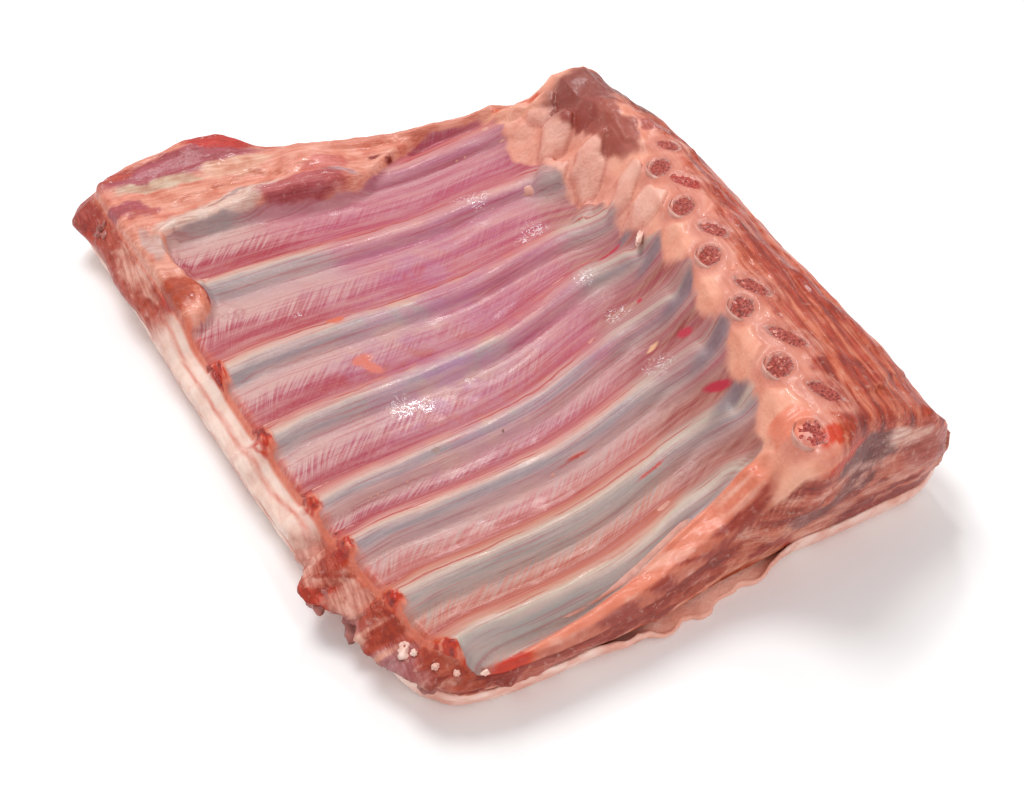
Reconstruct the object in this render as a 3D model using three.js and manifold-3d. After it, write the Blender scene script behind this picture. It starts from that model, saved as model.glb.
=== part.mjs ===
// A raw rack of lamb ribs, lying on its fat side with the bone side up.
//
// Millimetres, +Z up. +Y runs along the spine, away from the viewer, and +X runs along the ribs, from their
// sawn ends to the loin. The rack rests on Z = 0.
//
// The rack is a block of meat with eight rib bones let into its hollow top. The ribs start at the sawn edge on
// the left, cross the hollow, dive under the raised crest on the right and come up in its sawn face as round
// heads. Six slices of backbone lie in that face beside them. A cover of fat runs under the whole rack and
// shows as a pale band along its sides, with a thin loose flap on the near side.

import * as THREE from "three";
import Module from "manifold-3d";

const wasm = await Module();
wasm.setup();
const { clamp, degToRad, lerp } = THREE.MathUtils;

// Rib bones.
const RIBS = 8;
const RIB_HALF_WIDTH = 6.2; // half of the flat rib's breadth, along the spine
const RIB_HALF_DEPTH = 3.6;
const RIB_SIDES = 10; // faces round a rib
const RIB_RINGS = 12; // stretches along a rib
const RIB_SUNK = 1.1; // how far the middle of a rib lies under the meat's surface
const RIB_FADE = 2.5; // how much deeper it lies beside the crest and under the midriff
const RIB_PROUD = 0.8; // how far the sawn ends stand out of the meat
const SAWN_INSET = 4.5; // from the left edge of the plan to the wall at the height of the ribs
const HEAD_HALF_WIDTH = 5.2;
const HEAD_HALF_DEPTH = 4;
const HEAD_SHARE = 0.8; // the share of a rib's length where it starts to round off to its head

// y of each rib's middle, nearest rib first: at the sawn edge, half way, at the shoulder and at the head.
const RIB_END_Y = [-76, -58, -37, -21, 8, 40, 77, 113];
const RIB_MIDDLE_Y = [-67, -47, -24, -4, 26, 55, 92, 124];
const RIB_SHOULDER_Y = [-55.5, -35.5, -12.5, 11.5, 41, 63.5, 97, 128];
const RIB_HEAD_Y = [-66, -41, -16, 8, 32.5, 54, 77, 101];
const MIDDLE_X = 0;
const SHOULDER_X = 40;
const FADE_FROM_CREST = 26; // where a rib starts to sink towards the crest
const DIVE_FROM_CREST = 12; // and where it dives under it
const LEVEL_STEPS = 6; // steps of the path up to there
const HEAD_FROM_CREST = 5; // where its head comes up in the sawn face
const HEAD_APPROACH = [[7, 18], [2, 9], [0, -0.3]]; // how far back and below the face it bends up to it
const HIDDEN_FROM = 6; // the last two ribs end inside the crest, under the kidney fat
const HIDDEN_APPROACH = [[8, 22], [3, 22]];

// Slices of backbone in the sawn face: the middle and the long half-width of each.
const CHINE_BONES = [
  [67, -55, 6.5], [68, -32.5, 8], [69, -10, 7.5], [70.5, 17.5, 6.5], [73.5, 42.5, 6.5], [76.5, 63, 5],
];
const CHINE_HALF_THICKNESS = 3.2;
const CHINE_DEPTH = 15;
const CHINE_TURN = degToRad(-62); // long axis of a slice, from +X
const CHINE_LEAN = 2; // how far its foot stands nearer to the loin
const CHINE_FOOT = 0.75; // its foot is narrower and thinner than its cut face
const CHINE_FOOT_THICKNESS = 0.8;
const CHINE_PROUD = 0.4;
const CHINE_RINGS = [0, 0.35, 0.75, 1];
const CHINE_SIDES = 12;

const GAP = 0.35; // between a bone or the fat and the meat round it
const CUT_PAST_FACE = 6; // how far the room cut for a bone runs on past the sawn face
const CUT_PAST_EDGE = 14; // and past the left edge

// The meat's top.
const HOLLOW_FLOOR = 18.5; // height of the meat in the middle of the hollow
const CREST_HEIGHT = 48.5; // height of the crest along the backbone
const CREST_RUN = 14; // how gently the hollow rises to the crest
const FAR_FALL = { from: 40, to: 130, by: 3 }; // the crest is lower at the far end
const LOIN_SWELL = 4.5; // rise of the sawn face over the crest
const LOIN_SWELL_RUN = 10;
const LOIN_SLOPE = 0.3;
const LOIN_SLOPE_START = 17; // from the crest to where the face turns down to the loin
const LEFT_RISE = { from: 0, to: -60, by: 2 }; // the hollow rises a little to the sawn ends
const SKIRT_THICKNESS = 5; // the piece of midriff left on the far left corner
const SKIRT_EDGE = 5; // how wide its edge slopes
const SKIRT_START = [58, 66]; // y where it begins along the left edge

// Lumps on the top: [x, y, height, radius]. The first four are kidney fat at the far end of the crest, and the
// last is a dip at the near corner of the loin.
const LUMPS = [
  [54, 106, 5.5, 8], [59, 86, 5, 8], [48, 122, 3.5, 8], [66, 96, 3, 7],
  [-30, 131, 5, 14], [-62, 150, 4, 14], [-86, 76, 2, 9], [112, -54, -7, 15],
];

// Walls, rims and the fat.
const CORNER_RADIUS = { nearLeft: 9, nearRight: 18, farLeft: 10, farRight: 12 };
const TOP_ROUND = { left: 3, right: 23, near: 4, far: 6 };
const UNDER_ROUND = { left: 5, right: 17, near: 5, far: 7 };
const LEAST_THICKNESS = 2;
const WALL_BULGE = 1.6;
const WALL_EDGE = 4; // how far in from an edge the top still moves with the wall
const LEFT_LEAN = 6.5; // how far the top of the left wall stands in from its foot
const LEAN_REACH = 24; // how far in from the left edge the top moves with it
const LEAN_START = 0.3; // share of the wall's height where it starts to lean
const NEAR_OVERHANG = 2.5; // how far the top of the near wall stands out over its foot
const NOSE = { x: 57, reach: 8, half: 11 }; // and how much further where the crest ends
// Lumps of loose meat on the left wall: [y, how far out, half length].
const WALL_LUMPS = [[-42, 8, 7], [-62, 3, 8], [100, 2, 12], [140, 3, 8]];
const FAT_THICKNESS = 3.6;
const LOOSE_FLAP = { from: -20, full: 20, fades: 44, to: 66, root: 6, reach: 3.5, thickness: 1.5 };
const RAGGED = { least: 0.75, short: 0.55, long: 0.23 }; // the flap's edge waves at two pitches

// The lattice of the block: cells across and along it, closer together where it curves.
const CREST_SHARE = 0.66; // the crest's place across
const HOLLOW_CELLS = 15;
const FACE_CELLS = 11;
const LONG_CELLS = 28;
const WALL_CELLS = 4;
// The plan's nominal length runs between the near edge and the far edge at these x.
const NOMINAL_NEAR_X = 30;
const NOMINAL_FAR_X = 0;

// A smooth curve through a few [at, value] points, straight beyond the first and the last.
function through(points) {
  const last = points.length - 1;
  const slope = (i) => {
    const a = points[Math.max(i - 1, 0)];
    const b = points[Math.min(i + 1, last)];
    return (b[1] - a[1]) / (b[0] - a[0]);
  };
  return (at) => {
    if (at <= points[0][0]) return points[0][1] + slope(0) * (at - points[0][0]);
    if (at >= points[last][0]) return points[last][1] + slope(last) * (at - points[last][0]);
    let i = 0;
    while (at > points[i + 1][0]) i += 1;
    const run = points[i + 1][0] - points[i][0];
    const t = (at - points[i][0]) / run;
    const t2 = t * t;
    const t3 = t2 * t;
    return (
      (2 * t3 - 3 * t2 + 1) * points[i][1] +
      (t3 - 2 * t2 + t) * run * slope(i) +
      (3 * t2 - 2 * t3) * points[i + 1][1] +
      (t3 - t2) * run * slope(i + 1)
    );
  };
}

// The outline seen from above: x of the left and right edges by y, and y of the near and far edges by x.
const leftEdge = through([[-84, -45], [-60, -57], [-20, -72], [40, -87], [100, -100], [150, -111]]);
const rightEdge = through([[-66, 116], [-40, 110], [0, 104], [60, 99], [90, 97], [128, 90]]);
const nearEdge = through([[-50, -81], [-32, -83], [0, -79], [40, -69], [70, -66], [112, -60]]);
const farEdge = through([
  [-112, 148], [-86, 157], [-58, 161], [-36, 150], [0, 146], [30, 145], [50, 137], [68, 127], [92, 112],
]);
// x of the crest between the hollow and the sawn face, by y.
const crestLine = through([[-75, 50], [-40, 56.5], [0, 59], [40, 63.5], [80, 66], [125, 62]]);
// The inner edge of the midriff: x by y beside the left edge, and y by x beside the far edge.
const skirtInnerX = through([[58, -91], [70, -75], [85, -80], [104, -84], [125, -70]]);
const skirtInnerY = through([[-84, 106], [-60, 111], [-18, 112], [2, 126], [20, 137], [60, 132]]);

// Stations from 0 to 1, closer together at both ends the more crowding there is.
const stations = (count, crowding) =>
  Array.from({ length: count + 1 }, (_, i) => {
    const t = i / count;
    return t - (crowding * Math.sin(2 * Math.PI * t)) / (2 * Math.PI);
  });
const ACROSS = [
  ...stations(HOLLOW_CELLS, 0.6).map((t) => CREST_SHARE * t),
  ...stations(FACE_CELLS, 0.3).slice(1).map((t) => CREST_SHARE + (1 - CREST_SHARE) * t),
];
const ALONG = stations(LONG_CELLS, 0.7);

const bell = (d, radius) => Math.exp(-((d / radius) ** 2));
// Eases from 0 at "from" to 1 at "to", which may be the lower of the two.
function smooth(from, to, at) {
  const t = clamp((at - from) / (to - from), 0, 1);
  return t * t * (3 - 2 * t);
}
// How far a quarter round of this radius drops at a distance d from the edge.
const roundDrop = (d, radius) =>
  d >= radius ? 0 : radius - Math.sqrt(Math.max(0, radius ** 2 - (radius - d) ** 2));
const dropAt = (d, rounds) => Math.max(...Object.keys(rounds).map((side) => roundDrop(d[side], rounds[side])));

// Height of the midriff over the meat: it covers the far left corner, the left edge and a rim along the far edge.
function skirtHeight(x, y) {
  const besideLeft = smooth(0, SKIRT_EDGE, skirtInnerX(y) - x) * smooth(...SKIRT_START, y);
  const besideFar = smooth(0, SKIRT_EDGE, y - skirtInnerY(x));
  return SKIRT_THICKNESS * Math.max(besideLeft, besideFar);
}

// Height of the meat's top before its edges are rounded. In the hollow it is a floor that rises by an
// exponential to the crest, and beyond the crest a low swell that slopes down to the loin.
function topHeight(x, y) {
  const past = x - crestLine(y);
  const rise = CREST_HEIGHT - HOLLOW_FLOOR - smooth(FAR_FALL.from, FAR_FALL.to, y) * FAR_FALL.by;
  let z = HOLLOW_FLOOR + rise * Math.exp(Math.min(past, 0) / CREST_RUN);
  z += LOIN_SWELL * Math.sin(Math.PI * 0.5 * Math.min(Math.max(past, 0) / LOIN_SWELL_RUN, 1));
  z -= LOIN_SLOPE * Math.max(past - LOIN_SLOPE_START, 0);
  z += LEFT_RISE.by * smooth(LEFT_RISE.from, LEFT_RISE.to, x);
  for (const [lx, ly, height, radius] of LUMPS) z += height * bell(Math.hypot(x - lx, y - ly), radius);
  return z + skirtHeight(x, y);
}

// The direction that the top faces at a point.
function topNormal({ x, y }) {
  const step = 2;
  const slopeX = (topHeight(x + step, y) - topHeight(x - step, y)) / (2 * step);
  const slopeY = (topHeight(x, y + step) - topHeight(x, y - step)) / (2 * step);
  return new THREE.Vector3(-slopeX, -slopeY, 1).normalize();
}

// Rounds one corner: distances a and b from the two edges, both under the radius, move onto the round.
function cornerShift(a, b, radius) {
  const p = radius - a;
  const q = radius - b;
  if (p <= 0 || q <= 0) return [0, 0];
  const scale = Math.max(p, q) / Math.hypot(p, q);
  return [p * (1 - scale), q * (1 - scale)];
}

// The point of the plan at u across and v along, from 0 to 1, and its distances from the four edges. The line
// at CREST_SHARE across follows the crest.
function planPoint(u, v) {
  const nominal = lerp(nearEdge(NOMINAL_NEAR_X), farEdge(NOMINAL_FAR_X), v);
  const [left, crest, right] = [leftEdge(nominal), crestLine(nominal), rightEdge(nominal)];
  let x =
    u < CREST_SHARE
      ? lerp(left, crest, u / CREST_SHARE)
      : lerp(crest, right, (u - CREST_SHARE) / (1 - CREST_SHARE));
  const [near, far] = [nearEdge(x), farEdge(x)];
  let y = lerp(near, far, v);
  const d = { left: x - left, right: right - x, near: y - near, far: far - y };
  const corners = [
    ["near", "Left", 1, 1], ["near", "Right", -1, 1], ["far", "Left", 1, -1], ["far", "Right", -1, -1],
  ];
  for (const [end, side, alongX, alongY] of corners) {
    const [sx, sy] = cornerShift(d[side.toLowerCase()], d[end], CORNER_RADIUS[end + side]);
    x += sx * alongX;
    y += sy * alongY;
  }
  return { x, y, d };
}

// How far the walls lean out at a share w of their height: a low bulge, lumps on the left wall, and an overhang
// with a nose on the near one.
function wallPush(d, x, y, w) {
  const bulge = Math.sin(Math.PI * w);
  const out = WALL_BULGE * bulge;
  let lumps = 0;
  for (const [ly, reach, half] of WALL_LUMPS) lumps += reach * bell(y - ly, half) * bulge ** 2;
  const on = (distance) => smooth(WALL_EDGE, 0, distance);
  const overhang = NEAR_OVERHANG + NOSE.reach * bell(x - NOSE.x, NOSE.half);
  const lean = LEFT_LEAN * smooth(LEAN_START, 1, w) * smooth(LEAN_REACH, 0, d.left);
  return [
    lean + on(d.right) * out - on(d.left) * (out + lumps),
    on(d.far) * out - on(d.near) * (out + overhang * smooth(0, 1, w)),
  ];
}

// A closed solid with six faces: a lattice of stations u, v and w, of which only the outside is kept.
function block(us, vs, ws, point) {
  const ids = new Map();
  const xyz = [];
  const faces = [];
  const at = (i, j, k) => {
    const key = `${i},${j},${k}`;
    if (!ids.has(key)) {
      ids.set(key, xyz.length / 3);
      xyz.push(...point(us[i], vs[j], ws[k]));
    }
    return ids.get(key);
  };
  const quad = (a, b, c, d) => faces.push(a, b, c, a, c, d);
  const [nu, nv, nw] = [us.length - 1, vs.length - 1, ws.length - 1];
  for (let i = 0; i < nu; i += 1)
    for (let j = 0; j < nv; j += 1) {
      quad(at(i, j, nw), at(i + 1, j, nw), at(i + 1, j + 1, nw), at(i, j + 1, nw));
      quad(at(i, j, 0), at(i, j + 1, 0), at(i + 1, j + 1, 0), at(i + 1, j, 0));
    }
  for (let k = 0; k < nw; k += 1) {
    for (let i = 0; i < nu; i += 1) {
      quad(at(i, 0, k), at(i + 1, 0, k), at(i + 1, 0, k + 1), at(i, 0, k + 1));
      quad(at(i, nv, k), at(i, nv, k + 1), at(i + 1, nv, k + 1), at(i + 1, nv, k));
    }
    for (let j = 0; j < nv; j += 1) {
      quad(at(0, j, k), at(0, j, k + 1), at(0, j + 1, k + 1), at(0, j + 1, k));
      quad(at(nu, j, k), at(nu, j + 1, k), at(nu, j + 1, k + 1), at(nu, j, k + 1));
    }
  }
  return { xyz, faces };
}

// The meat's block: its underside lies on the fat, and its walls stand between two rounded rims.
const meatBlock = () =>
  block(ACROSS, ALONG, stations(WALL_CELLS, 0), (u, v, w) => {
    const { x, y, d } = planPoint(u, v);
    const top = topHeight(x, y) - dropAt(d, TOP_ROUND);
    const under = FAT_THICKNESS + dropAt(d, UNDER_ROUND);
    const [px, py] = wallPush(d, x, y, w);
    return [x + px, y + py, lerp(under, Math.max(top, under + LEAST_THICKNESS), w)];
  });

// The cover of fat: a sheet under the meat that turns up at the sides, and lies out as a flap on the near side.
const fatBlock = () =>
  block(ACROSS, ALONG, [0, 1], (u, v, w) => {
    const { x, y, d } = planPoint(u, v);
    const { from, full, fades, to, root, reach } = LOOSE_FLAP;
    const loose = smooth(from, full, x) * smooth(to, fades, x) * smooth(root, 0, d.near);
    const under = dropAt(d, UNDER_ROUND) * (1 - loose);
    const thickness = lerp(FAT_THICKNESS - GAP, LOOSE_FLAP.thickness, loose);
    const ragged = RAGGED.least + (1 - RAGGED.least) * Math.sin(x * RAGGED.short) * Math.cos(x * RAGGED.long);
    return [x, y - reach * loose * ragged, under + thickness * w];
  });

// A closed tube of oval sections along a path. Each section has a middle, a direction across and one up, and
// half sizes for the two.
function ovalTube(sections, sides) {
  const xyz = [];
  const faces = [];
  for (const { middle, across, up, halfWidth, halfDepth } of sections)
    for (let s = 0; s < sides; s += 1) {
      const angle = (2 * Math.PI * s) / sides;
      const p = middle
        .clone()
        .addScaledVector(across, halfWidth * Math.cos(angle))
        .addScaledVector(up, halfDepth * Math.sin(angle));
      xyz.push(p.x, p.y, p.z);
    }
  const ring = (r, s) => r * sides + (s % sides);
  for (let r = 0; r + 1 < sections.length; r += 1)
    for (let s = 0; s < sides; s += 1) {
      faces.push(ring(r, s), ring(r, s + 1), ring(r + 1, s + 1));
      faces.push(ring(r, s), ring(r + 1, s + 1), ring(r + 1, s));
    }
  const last = sections.length - 1;
  for (let s = 1; s + 1 < sides; s += 1) {
    faces.push(ring(0, 0), ring(0, s + 1), ring(0, s));
    faces.push(ring(last, 0), ring(last, s), ring(last, s + 1));
  }
  return { xyz, faces };
}

// The middle line of a rib: level with the hollow, then under the crest and up into the sawn face.
function ribPath(k) {
  const [endY, headY] = [RIB_END_Y[k], RIB_HEAD_Y[k]];
  const start = leftEdge(endY);
  const crest = crestLine(headY);
  const middleY = through([
    [start, endY], [MIDDLE_X, RIB_MIDDLE_Y[k]], [SHOULDER_X, RIB_SHOULDER_Y[k]], [crest, headY],
  ]);
  const middleZ = (x, y) => {
    const skirt = skirtHeight(x, y);
    const fade = Math.max(smooth(crest - FADE_FROM_CREST, crest - DIVE_FROM_CREST, x), skirt / SKIRT_THICKNESS);
    return topHeight(x, y) - skirt - RIB_SUNK - RIB_FADE * fade;
  };
  const points = [];
  for (let i = 0; i <= LEVEL_STEPS; i += 1) {
    const x = lerp(start, crest - DIVE_FROM_CREST, i / LEVEL_STEPS);
    const y = middleY(x);
    points.push(new THREE.Vector3(x, y, middleZ(x, y)));
  }
  const headX = crest + HEAD_FROM_CREST;
  const face = topHeight(headX, headY);
  for (const [back, below] of k < HIDDEN_FROM ? HEAD_APPROACH : HIDDEN_APPROACH)
    points.push(new THREE.Vector3(headX - back, headY, face - below));
  return new THREE.CatmullRomCurve3(points, false, "centripetal");
}

// Rib k as a flat oval bone. Its first section is sawn off along the left wall, and its last lies in the sawn
// face. With "grow" above 0 it is the room that is cut for it in the meat.
function ribTube(k, grow) {
  const path = ribPath(k);
  const sections = [];
  for (let i = 0; i <= RIB_RINGS; i += 1) {
    const t = i / RIB_RINGS;
    const along = path.getTangentAt(t);
    if (i === RIB_RINGS && k < HIDDEN_FROM) along.copy(topNormal(path.getPointAt(1)));
    const across = new THREE.Vector3(0, 1, 0).addScaledVector(along, -along.y).normalize();
    const up = new THREE.Vector3().crossVectors(along, across);
    const head = smooth(HEAD_SHARE, 1, t);
    sections.push({
      middle: path.getPointAt(t),
      along,
      across,
      up,
      halfWidth: lerp(RIB_HALF_WIDTH, HEAD_HALF_WIDTH, head) + grow,
      halfDepth: lerp(RIB_HALF_DEPTH, HEAD_HALF_DEPTH, head) + grow,
    });
  }
  if (grow > 0) {
    const last = sections[RIB_RINGS];
    const reach = k < HIDDEN_FROM ? CUT_PAST_FACE : grow;
    sections.unshift({ ...sections[0] });
    sections.push({ ...last, middle: last.middle.clone().addScaledVector(last.along, reach) });
  }
  const tube = ovalTube(sections, RIB_SIDES);
  const sawOff = (s, out) => {
    tube.xyz[3 * s] = leftEdge(tube.xyz[3 * s + 1]) + SAWN_INSET - out;
  };
  for (let s = 0; s < RIB_SIDES; s += 1) {
    sawOff(s, grow > 0 ? CUT_PAST_EDGE : RIB_PROUD);
    if (grow > 0) sawOff(s + RIB_SIDES, RIB_PROUD);
  }
  return tube;
}

// One slice of backbone: an oval post sunk in the sawn face, narrower below.
function chineTube([x, y, halfLength], grow) {
  const across = new THREE.Vector3(Math.cos(CHINE_TURN), Math.sin(CHINE_TURN), 0);
  const up = new THREE.Vector3(0, 0, 1).cross(across);
  const level = topHeight(x, y) + CHINE_PROUD;
  const sections = CHINE_RINGS.map((t) => ({
    middle: new THREE.Vector3(x + CHINE_LEAN * (1 - t), y, level - (CHINE_DEPTH + grow) * (1 - t)),
    across,
    up,
    halfWidth: halfLength * lerp(CHINE_FOOT, 1, t) + grow,
    halfDepth: CHINE_HALF_THICKNESS * lerp(CHINE_FOOT_THICKNESS, 1, t) + grow,
  }));
  if (grow > 0) {
    const face = sections[sections.length - 1];
    sections.push({ ...face, middle: face.middle.clone().setZ(level + CUT_PAST_FACE) });
  }
  return ovalTube(sections, CHINE_SIDES);
}

const solidOf = ({ xyz, faces }) =>
  new wasm.Manifold(
    new wasm.Mesh({ numProp: 3, vertProperties: new Float32Array(xyz), triVerts: new Uint32Array(faces) }),
  );

function geometryOf({ xyz, faces }) {
  const geometry = new THREE.BufferGeometry();
  geometry.setAttribute("position", new THREE.BufferAttribute(new Float32Array(xyz), 3));
  geometry.setIndex(new THREE.BufferAttribute(new Uint32Array(faces), 1));
  geometry.computeVertexNormals();
  return geometry;
}

function cutGeometry(solid) {
  const mesh = solid.getMesh();
  return geometryOf({ xyz: mesh.vertProperties, faces: mesh.triVerts });
}

const materials = {
  meat: new THREE.MeshStandardMaterial({ color: 0xb4626a, roughness: 0.4, metalness: 0 }),
  fat: new THREE.MeshStandardMaterial({ color: 0xe6b4a5, roughness: 0.45, metalness: 0 }),
  rib: new THREE.MeshStandardMaterial({ color: 0xcdbcb4, roughness: 0.4, metalness: 0 }),
  chine: new THREE.MeshStandardMaterial({ color: 0xa8504a, roughness: 0.6, metalness: 0 }),
};

const rack = new THREE.Group();
function addNode(name, geometry, material) {
  const mesh = new THREE.Mesh(geometry, material);
  mesh.name = name;
  rack.add(mesh);
}

let meat = solidOf(meatBlock());
for (let k = 0; k < RIBS; k += 1) {
  meat = meat.subtract(solidOf(ribTube(k, GAP)));
  addNode(`rib_${k + 1}`, geometryOf(ribTube(k, 0)), materials.rib);
}
CHINE_BONES.forEach((bone, i) => {
  meat = meat.subtract(solidOf(chineTube(bone, GAP)));
  addNode(`chine_bone_${i + 1}`, geometryOf(chineTube(bone, 0)), materials.chine);
});
addNode("meat", cutGeometry(meat), materials.meat);
addNode("fat_cover", geometryOf(fatBlock()), materials.fat);

export default rack;
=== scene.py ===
"""A raw rack of lamb ribs, bone side up, on a white table.

Every surface is worked out in millimetres in the rack's own frame: +Y runs along the spine and +X runs along
the ribs, from their sawn ends to the loin. Meshes are written in metres.
"""

import itertools
import math

import bpy
import numpy as np
from bpy.props import FloatProperty, FloatVectorProperty, PointerProperty
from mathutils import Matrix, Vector


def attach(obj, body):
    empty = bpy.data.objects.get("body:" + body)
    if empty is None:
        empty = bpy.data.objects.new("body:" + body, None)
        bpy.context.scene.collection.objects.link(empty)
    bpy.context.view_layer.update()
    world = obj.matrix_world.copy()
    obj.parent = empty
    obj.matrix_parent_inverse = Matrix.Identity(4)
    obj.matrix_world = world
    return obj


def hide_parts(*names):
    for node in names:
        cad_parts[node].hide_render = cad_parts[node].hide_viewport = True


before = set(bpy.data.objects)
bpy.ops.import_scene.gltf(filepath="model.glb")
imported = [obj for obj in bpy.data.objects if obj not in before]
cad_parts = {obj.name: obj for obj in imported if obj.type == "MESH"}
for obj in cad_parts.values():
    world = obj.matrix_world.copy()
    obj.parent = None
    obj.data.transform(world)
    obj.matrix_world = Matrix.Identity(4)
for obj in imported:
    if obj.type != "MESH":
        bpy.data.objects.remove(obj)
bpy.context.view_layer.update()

bl_info = {
    "name": "Raw Lamb Rib Rack",
    "version": (1, 0, 0),
    "blender": (4, 5, 0),
    "location": "View3D > Sidebar > Lamb Rack",
    "description": "Builds a raw rack of lamb ribs with its bones, fat and membranes",
    "category": "Add Mesh",
}

MM = 0.001
BODY = "root"

# Rib bones: y of each rib's middle, nearest rib first, at four stations along it.
RIBS = 8
RIB_HALF_WIDTH = 6.2
RIB_HALF_DEPTH = 3.6
RIB_SUNK = 1.1
RIB_FADE = 2.5
HEAD_HALF_WIDTH = 5.2
HEAD_HALF_DEPTH = 4
HEAD_SHARE = 0.8
RIB_END_Y = (-76, -58, -37, -21, 8, 40, 77, 113)
RIB_MIDDLE_Y = (-67, -47, -24, -4, 26, 55, 92, 124)
RIB_SHOULDER_Y = (-55.5, -35.5, -12.5, 11.5, 41, 63.5, 97, 128)
RIB_HEAD_Y = (-66, -41, -16, 8, 32.5, 54, 77, 101)
MIDDLE_X = 0
SHOULDER_X = 40
FADE_FROM_CREST = 26
DIVE_FROM_CREST = 12
LEVEL_STEPS = 24
HEAD_FROM_CREST = 5
HEAD_APPROACH = ((7, 18), (2, 9), (0, -0.3))
HIDDEN_FROM = 6
HIDDEN_APPROACH = ((8, 22), (3, 22))
RIB_PITCH = 25
RIB_RINGS = 70
RIB_SIDES = 40
FINE_STEPS = 400
BONE_UNDER_SKIN = 2.5
SAWN_FACE = 6.6
SAWN_SHEAR = 14
SAWN_END_SUNK = 0.9
BLOODY_LENGTH = 2.5
BLOODY_HEAD, BLOODY_HEAD_SHARE = 0, 0.5
FRINGE_SHIFT = 0.02

# Slices of backbone: the middle and the long half-width of each.
CHINE_BONES = (
    (67, -55, 6.5), (68, -32.5, 8), (69, -10, 7.5), (70.5, 17.5, 6.5), (73.5, 42.5, 6.5), (76.5, 63, 5),
)
CHINE_HALF_THICKNESS = 3.2
CHINE_DEPTH = 15
CHINE_TURN = math.radians(-62)
CHINE_LEAN = 2
CHINE_FOOT = 0.75
CHINE_FOOT_THICKNESS = 0.8
CHINE_RINGS = 14
CHINE_SIDES = 48
BLOODY_SLICE, BLOODY_SLICE_SHARE = 4, 0.6
BONE_FACE_PROUD = 0.12
BONE_WELL = 0.4
BONE_COLLAR = 0.35
NEAR_FACE_FALL = (-63, -71, 0.7)

# The meat's top and its rims.
HOLLOW_FLOOR = 18.5
CREST_HEIGHT = 48.5
CREST_RUN = 14
FAR_FALL = (40, 130, 3)
LOIN_SWELL = 4.5
LOIN_SWELL_RUN = 10
LOIN_SLOPE = 0.3
LOIN_SLOPE_START = 17
LEFT_RISE = (0, -60, 2)
SKIRT_THICKNESS = 5
SKIRT_EDGE = 5
SKIRT_START = (58, 66)
LUMPS = (
    (54, 106, 5.5, 8), (59, 86, 5, 8), (48, 122, 3.5, 8), (66, 96, 3, 7),
    (-30, 131, 5, 14), (-62, 150, 4, 14), (-86, 76, 2, 9), (112, -54, -7, 15),
)
CORNER_RADIUS = {("near", "left"): 9, ("near", "right"): 18, ("far", "left"): 10, ("far", "right"): 12}
TOP_ROUND = {"left": 3, "right": 23, "near": 4, "far": 6}
UNDER_ROUND = {"left": 5, "right": 17, "near": 5, "far": 7}
LEAST_THICKNESS = 2
WALL_BULGE = 1.6
WALL_EDGE = 4
LEFT_LEAN = 6.5
LEAN_REACH = 24
LEAN_START = 0.3
NEAR_OVERHANG = 1.0
NOSE_X, NOSE_REACH, NOSE_HALF = 57, 8, 11
WALL_LUMPS = ((-42, 8, 7), (-62, 3, 8), (100, 2, 12), (140, 3, 8))
FAT_THICKNESS = 3.6
FAT_GAP = 0.35

# The flap of fat that lies loose on the near side: where along X it starts, is full, fades and ends.
LOOSE_FROM, LOOSE_FULL, LOOSE_FADES, LOOSE_TO = -10, 24, 44, 60
LOOSE_ROOT = 6
LOOSE_REACH = 5
LOOSE_THICKNESS = 2
HEM_REACH = 0.85
HEM_DEPTH = (12, 8)

CREST_SHARE = 0.66
NOMINAL_NEAR_X = 30
NOMINAL_FAR_X = 0


def through(points):
    """A smooth curve through a few (at, value) points: cubic Hermite pieces whose slopes join the neighbours
    of each point, and straight lines beyond the first and the last."""
    at, value = np.array(points, float).T
    last = len(at) - 1
    index = np.arange(last + 1)
    before, after = np.maximum(index - 1, 0), np.minimum(index + 1, last)
    slope = (value[after] - value[before]) / (at[after] - at[before])

    def curve(x):
        x = np.asarray(x, float)
        i = np.clip(np.searchsorted(at, x) - 1, 0, last - 1)
        run = at[i + 1] - at[i]
        t = np.clip((x - at[i]) / run, 0, 1)
        inside = (
            (2 * t**3 - 3 * t**2 + 1) * value[i]
            + (t**3 - 2 * t**2 + t) * run * slope[i]
            + (3 * t**2 - 2 * t**3) * value[i + 1]
            + (t**3 - t**2) * run * slope[i + 1]
        )
        return inside + slope[0] * np.minimum(x - at[0], 0) + slope[last] * np.maximum(x - at[last], 0)

    return curve


left_edge = through([(-84, -45), (-60, -57), (-20, -72), (40, -87), (100, -100), (150, -111)])
right_edge = through([(-66, 116), (-40, 110), (0, 104), (60, 99), (90, 97), (128, 90)])
near_edge = through([(-50, -81), (-32, -83), (0, -79), (40, -69), (70, -66), (112, -60)])
far_edge = through([
    (-112, 148), (-86, 157), (-58, 161), (-36, 150), (0, 146), (30, 145), (50, 137), (68, 127), (92, 112),
])
crest_line = through([(-75, 50), (-40, 56.5), (0, 59), (40, 63.5), (80, 66), (125, 62)])
skirt_inner_x = through([(58, -91), (70, -75), (85, -80), (104, -84), (125, -70)])
skirt_inner_y = through([(-84, 106), (-60, 111), (-18, 112), (2, 126), (20, 137), (60, 132)])

# How far along each rib, nearest first, its grey band shows: the bone through the skin, with painted shade on
# the rib's near side.
bone_shows_to = through([(0, 70), (1, 62), (2, 36), (3, 22), (4, 2), (5, -14), (6, -38), (7, -60)])
# How dark the muscle beside each rib is.
muscle_depth = through([(0, 0.15), (1, 0.35), (2, 0.5), (3, 0.85), (4, 0.85), (5, 0.75), (6, 0.9), (7, 1)])


def lerp(a, b, t):
    return a + (b - a) * t


def bell(d, radius):
    return np.exp(-((d / radius) ** 2))


def smooth(start, end, at):
    """Eases from 0 at start to 1 at end, which may be the lower of the two: 3 t squared less 2 t cubed."""
    t = np.clip((at - start) / (end - start), 0, 1)
    return t * t * (3 - 2 * t)


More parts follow.
